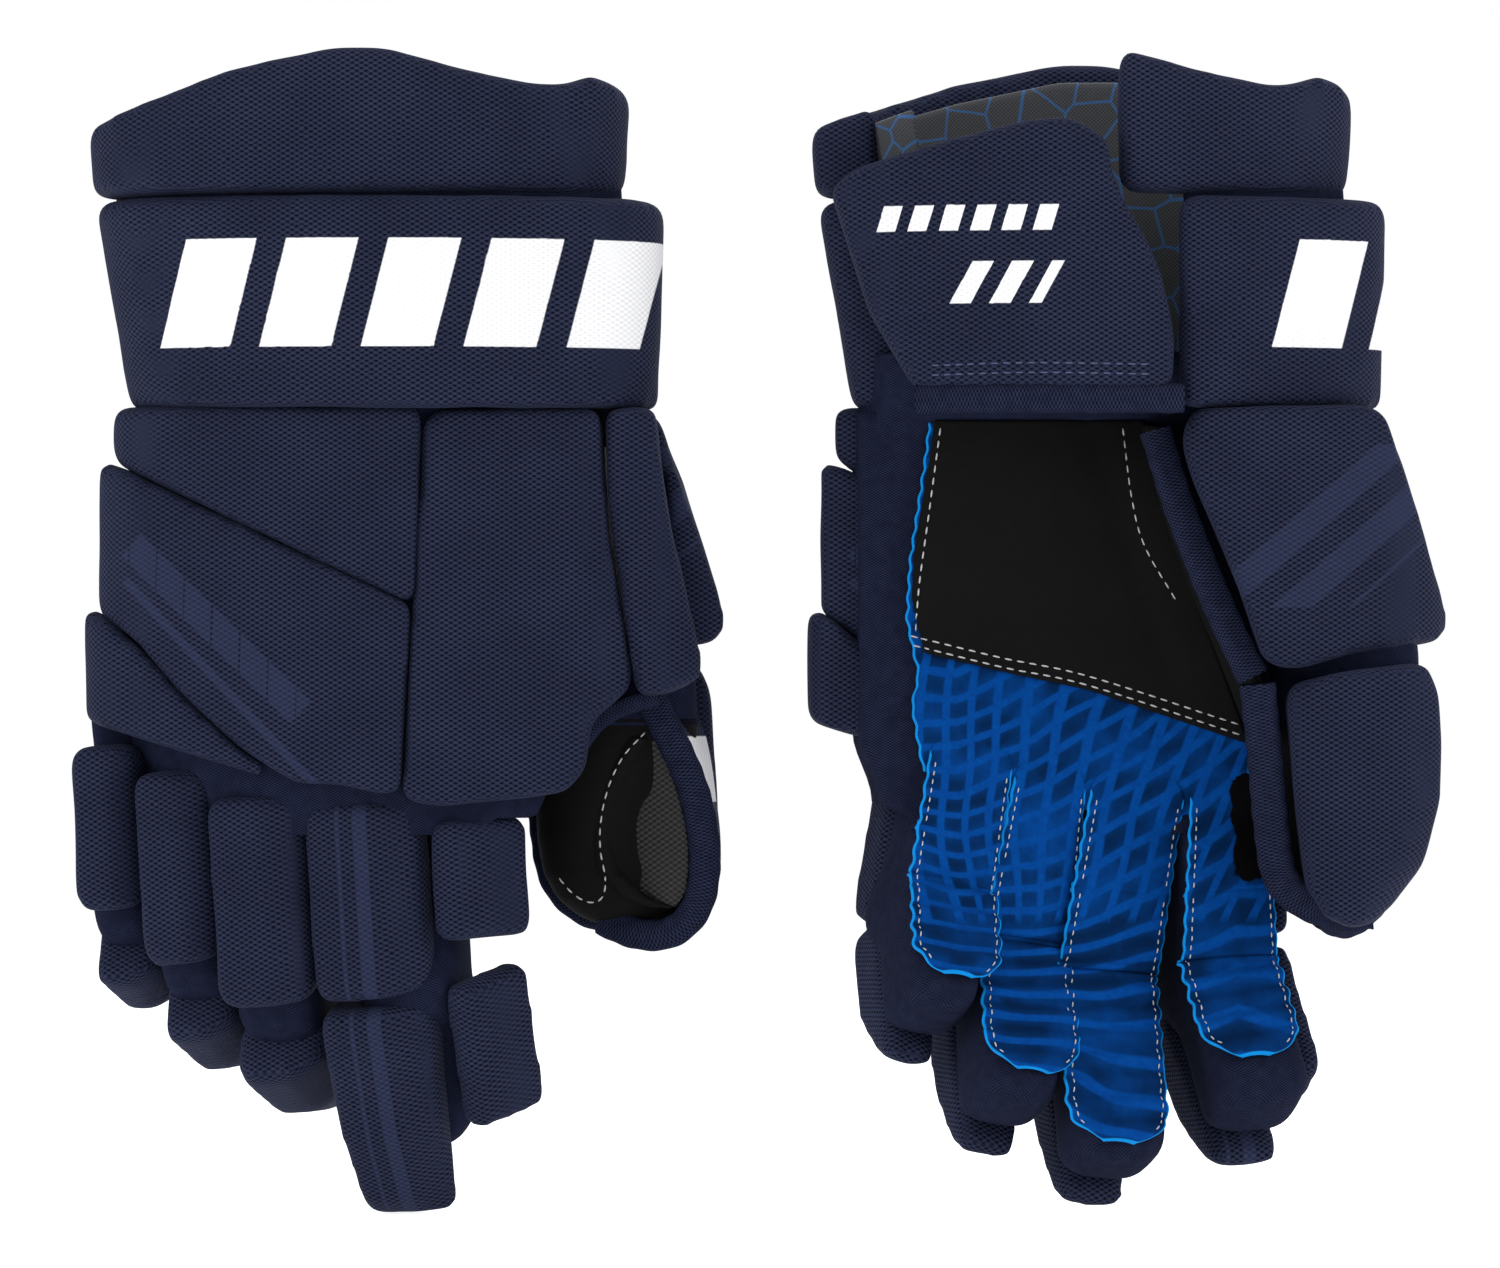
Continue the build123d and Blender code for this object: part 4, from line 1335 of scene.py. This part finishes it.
def build_thumb_side(glove):
    """The nylon edge of the thumb between the tip pad and the ribbed rim."""
    rim = [(72.0, 0.0, 166.0), (83.0, 0.0, 152.0), (90.0, 0.0, 138.0), (94.0, 0.0, 127.0),
           (96.0, 0.0, 115.0), (96.0, 0.0, 104.0), (94.0, 1.0, 94.0), (88.0, 2.0, 87.0), (80.0, 3.0, 85.5)]
    pad = [(86.0, 24.0, 170.0), (91.5, 24.0, 154.0), (94.5, 24.0, 140.0), (95.8, 24.0, 127.0),
           (97.0, 24.0, 115.0), (96.8, 24.0, 104.0), (94.5, 24.0, 95.0), (88.0, 24.0, 88.0), (78.0, 24.0, 86.5)]
    verts, faces = between_curves(rim, pad, 44, 14)
    side = finish_piece(glove.name("thumb_side_wall"), glove, glove.taper(verts), faces, NYLON_TIP, 1, 1.5)
    attach(side, glove, "thumb_tip")


def build_thumb(glove):
    """Everything of the thumb but its two pads."""
    build_thumb_web(glove)
    lining = build_thumb_sleeve(glove)
    lip = build_thumb_window(glove)
    build_thumb_side(glove)
    binding(glove, glove.name("thumb_upper_binding"), THUMB_EDGE, 10.5, 5.0, (0.5, 1.0, 0.0), "thumb_base")
    binding(glove, glove.name("thumb_lower_binding"), TIP_EDGE, 11.5, 6.0, (-0.3, 1.0, -0.2), "thumb_tip")
    binding(glove, glove.name("thumb_rim_binding"), RIM, 10.0, 8.0, (0.0, -1.0, 0.0), "thumb_tip")
    edge = [(52.0, -14.0, 139.0), (58.0, -14.0, 149.0), (66.0, -12.0, 155.0), (78.0, -8.0, 159.0)]
    binding(glove, glove.name("hand_edge_binding"), edge, 6.0, 5.0, (0.0, -1.0, 0.0), "hand")
    line = [(74.5, 147.8), (68.1, 140.8), (63.5, 131.6), (61.0, 121.1), (60.8, 111.9), (62.4, 102.5),
            (61.0, 96.5), (56.6, 95.7), (51.9, 98.6), (47.9, 103.2)]
    stitch_on(glove, "thumb_curved_stitches", [lining, lip], line, False, "thumb_tip", PALE_THREAD)


# ---------------------------------------------------------------- studio

# Soft lights, in metres: name, place, width and height, power in watts
LIGHTS = [
    ("left", (-1.6, -0.75, 0.75), (0.7, 1.4), 17.0),
    ("right", (1.6, -0.75, 0.65), (0.7, 1.4), 17.0),
    ("front", (-0.5, -1.9, 1.2), (1.0, 1.0), 9.0),
    ("top", (0.1, 0.0, 1.7), (1.4, 0.9), 14.0),
    ("rear", (0.4, 1.9, 1.0), (2.0, 1.6), 12.0),
]
WHITE = (1.0, 1.0, 1.0, 1.0)
FLOOR_GLOW = 0.74
ROOM_LIGHT = 0.33  # strength of the white surroundings, which the camera itself sees as pure white
CAMERA_LENS = 234.0
CAMERA_AWAY = 3.0
CAMERA_ASIDE = 0.0034
CAMERA_HEIGHT = 0.1786


def look_at(thing, target):
    """Turn a light towards a place."""
    direction = Vector(target) - thing.location
    thing.rotation_euler = direction.to_track_quat("-Z", "Y").to_euler()


def area_light(name, place, target, size, power):
    """A rectangular soft light."""
    data = bpy.data.lights.new(name, "AREA")
    data.shape = "RECTANGLE"
    data.size = size[0]
    data.size_y = size[1]
    data.energy = power
    light = bpy.data.objects.new(name, data)
    light.location = place
    bpy.context.scene.collection.objects.link(light)
    look_at(light, target)


def stage_material(name, colour):
    """A pale floor that keeps contact shadows but otherwise meets the white backdrop."""
    graph = Graph(name)
    speck = graph.noise(graph.attribute("place"), 0.2)
    graph.surface.inputs["Emission Color"].default_value = WHITE
    graph.surface.inputs["Emission Strength"].default_value = FLOOR_GLOW
    return graph.face(graph.mix(graph.times(speck, 0.05), colour, (0.8, 0.8, 0.8)), 0.9, specular=0.1)


def build_studio():
    """Pale floor and backdrop, soft lights and the camera."""
    low, high = Vector(CAD_BOX[0]), Vector(CAD_BOX[1])
    middle = (low + high) / 2
    corners = [(-4, -4, low.z), (4, -4, low.z), (4, 4, low.z), (-4, 4, low.z)]
    floor = new_object("floor", corners, [(0, 1, 2, 3)])
    floor.data.materials.append(stage_material("pale_floor", (0.86, 0.86, 0.86)))
    for name, place, size, power in LIGHTS:
        area_light(name, place, middle, size, power)
    bpy.context.scene.view_settings.view_transform = "Standard"
    world = bpy.data.worlds.new("studio")
    bpy.context.scene.world = world
    world.use_nodes = True
    shade = world.node_tree.nodes["Background"]
    seen = world.node_tree.nodes.new("ShaderNodeLightPath").outputs["Is Camera Ray"]
    strength = world.node_tree.nodes.new("ShaderNodeMapRange")
    strength.inputs["To Min"].default_value = ROOM_LIGHT
    strength.inputs["To Max"].default_value = 1.0
    world.node_tree.links.new(seen, strength.inputs["Value"])
    world.node_tree.links.new(strength.outputs["Result"], shade.inputs["Strength"])
    shade.inputs["Color"].default_value = WHITE
    data = bpy.data.cameras.new("camera")
    data.lens = CAMERA_LENS
    data.sensor_width = 36.0
    camera = bpy.data.objects.new("camera", data)
    bpy.context.scene.collection.objects.link(camera)
    camera.location = (middle.x - CAMERA_ASIDE, middle.y - CAMERA_AWAY, CAMERA_HEIGHT)
    camera.rotation_euler = (math.radians(90.0), 0.0, 0.0)
    bpy.context.scene.camera = camera


# ---------------------------------------------------------------- build

for side in SIDES:
    glove = Glove(side)
    fingers = {key: Finger(glove, key) for key in FINGERS}
    palm = Palm(fingers)
    pads = build_pads(glove, fingers)
    build_hand_base(glove, palm)
    sheet = build_palm(glove, palm)
    patch = build_patch(glove, palm)
    stitch_palm(glove, sheet, patch)
    build_wrist_gusset(glove)
    build_cuff_liner(glove)
    build_cuff_core(glove)
    build_flap_trim(glove, pads)
    build_thumb(glove)
    for finger in fingers.values():
        build_finger_gussets(glove, finger)
        build_strips(glove, finger, palm)
    for node in ("cuff_insert", "thumb_insert"):
        insert = frame["nodes"][glove.name(node)]
        insert.data.materials.clear()
        insert.data.materials.append(PLASTIC)

build_studio()
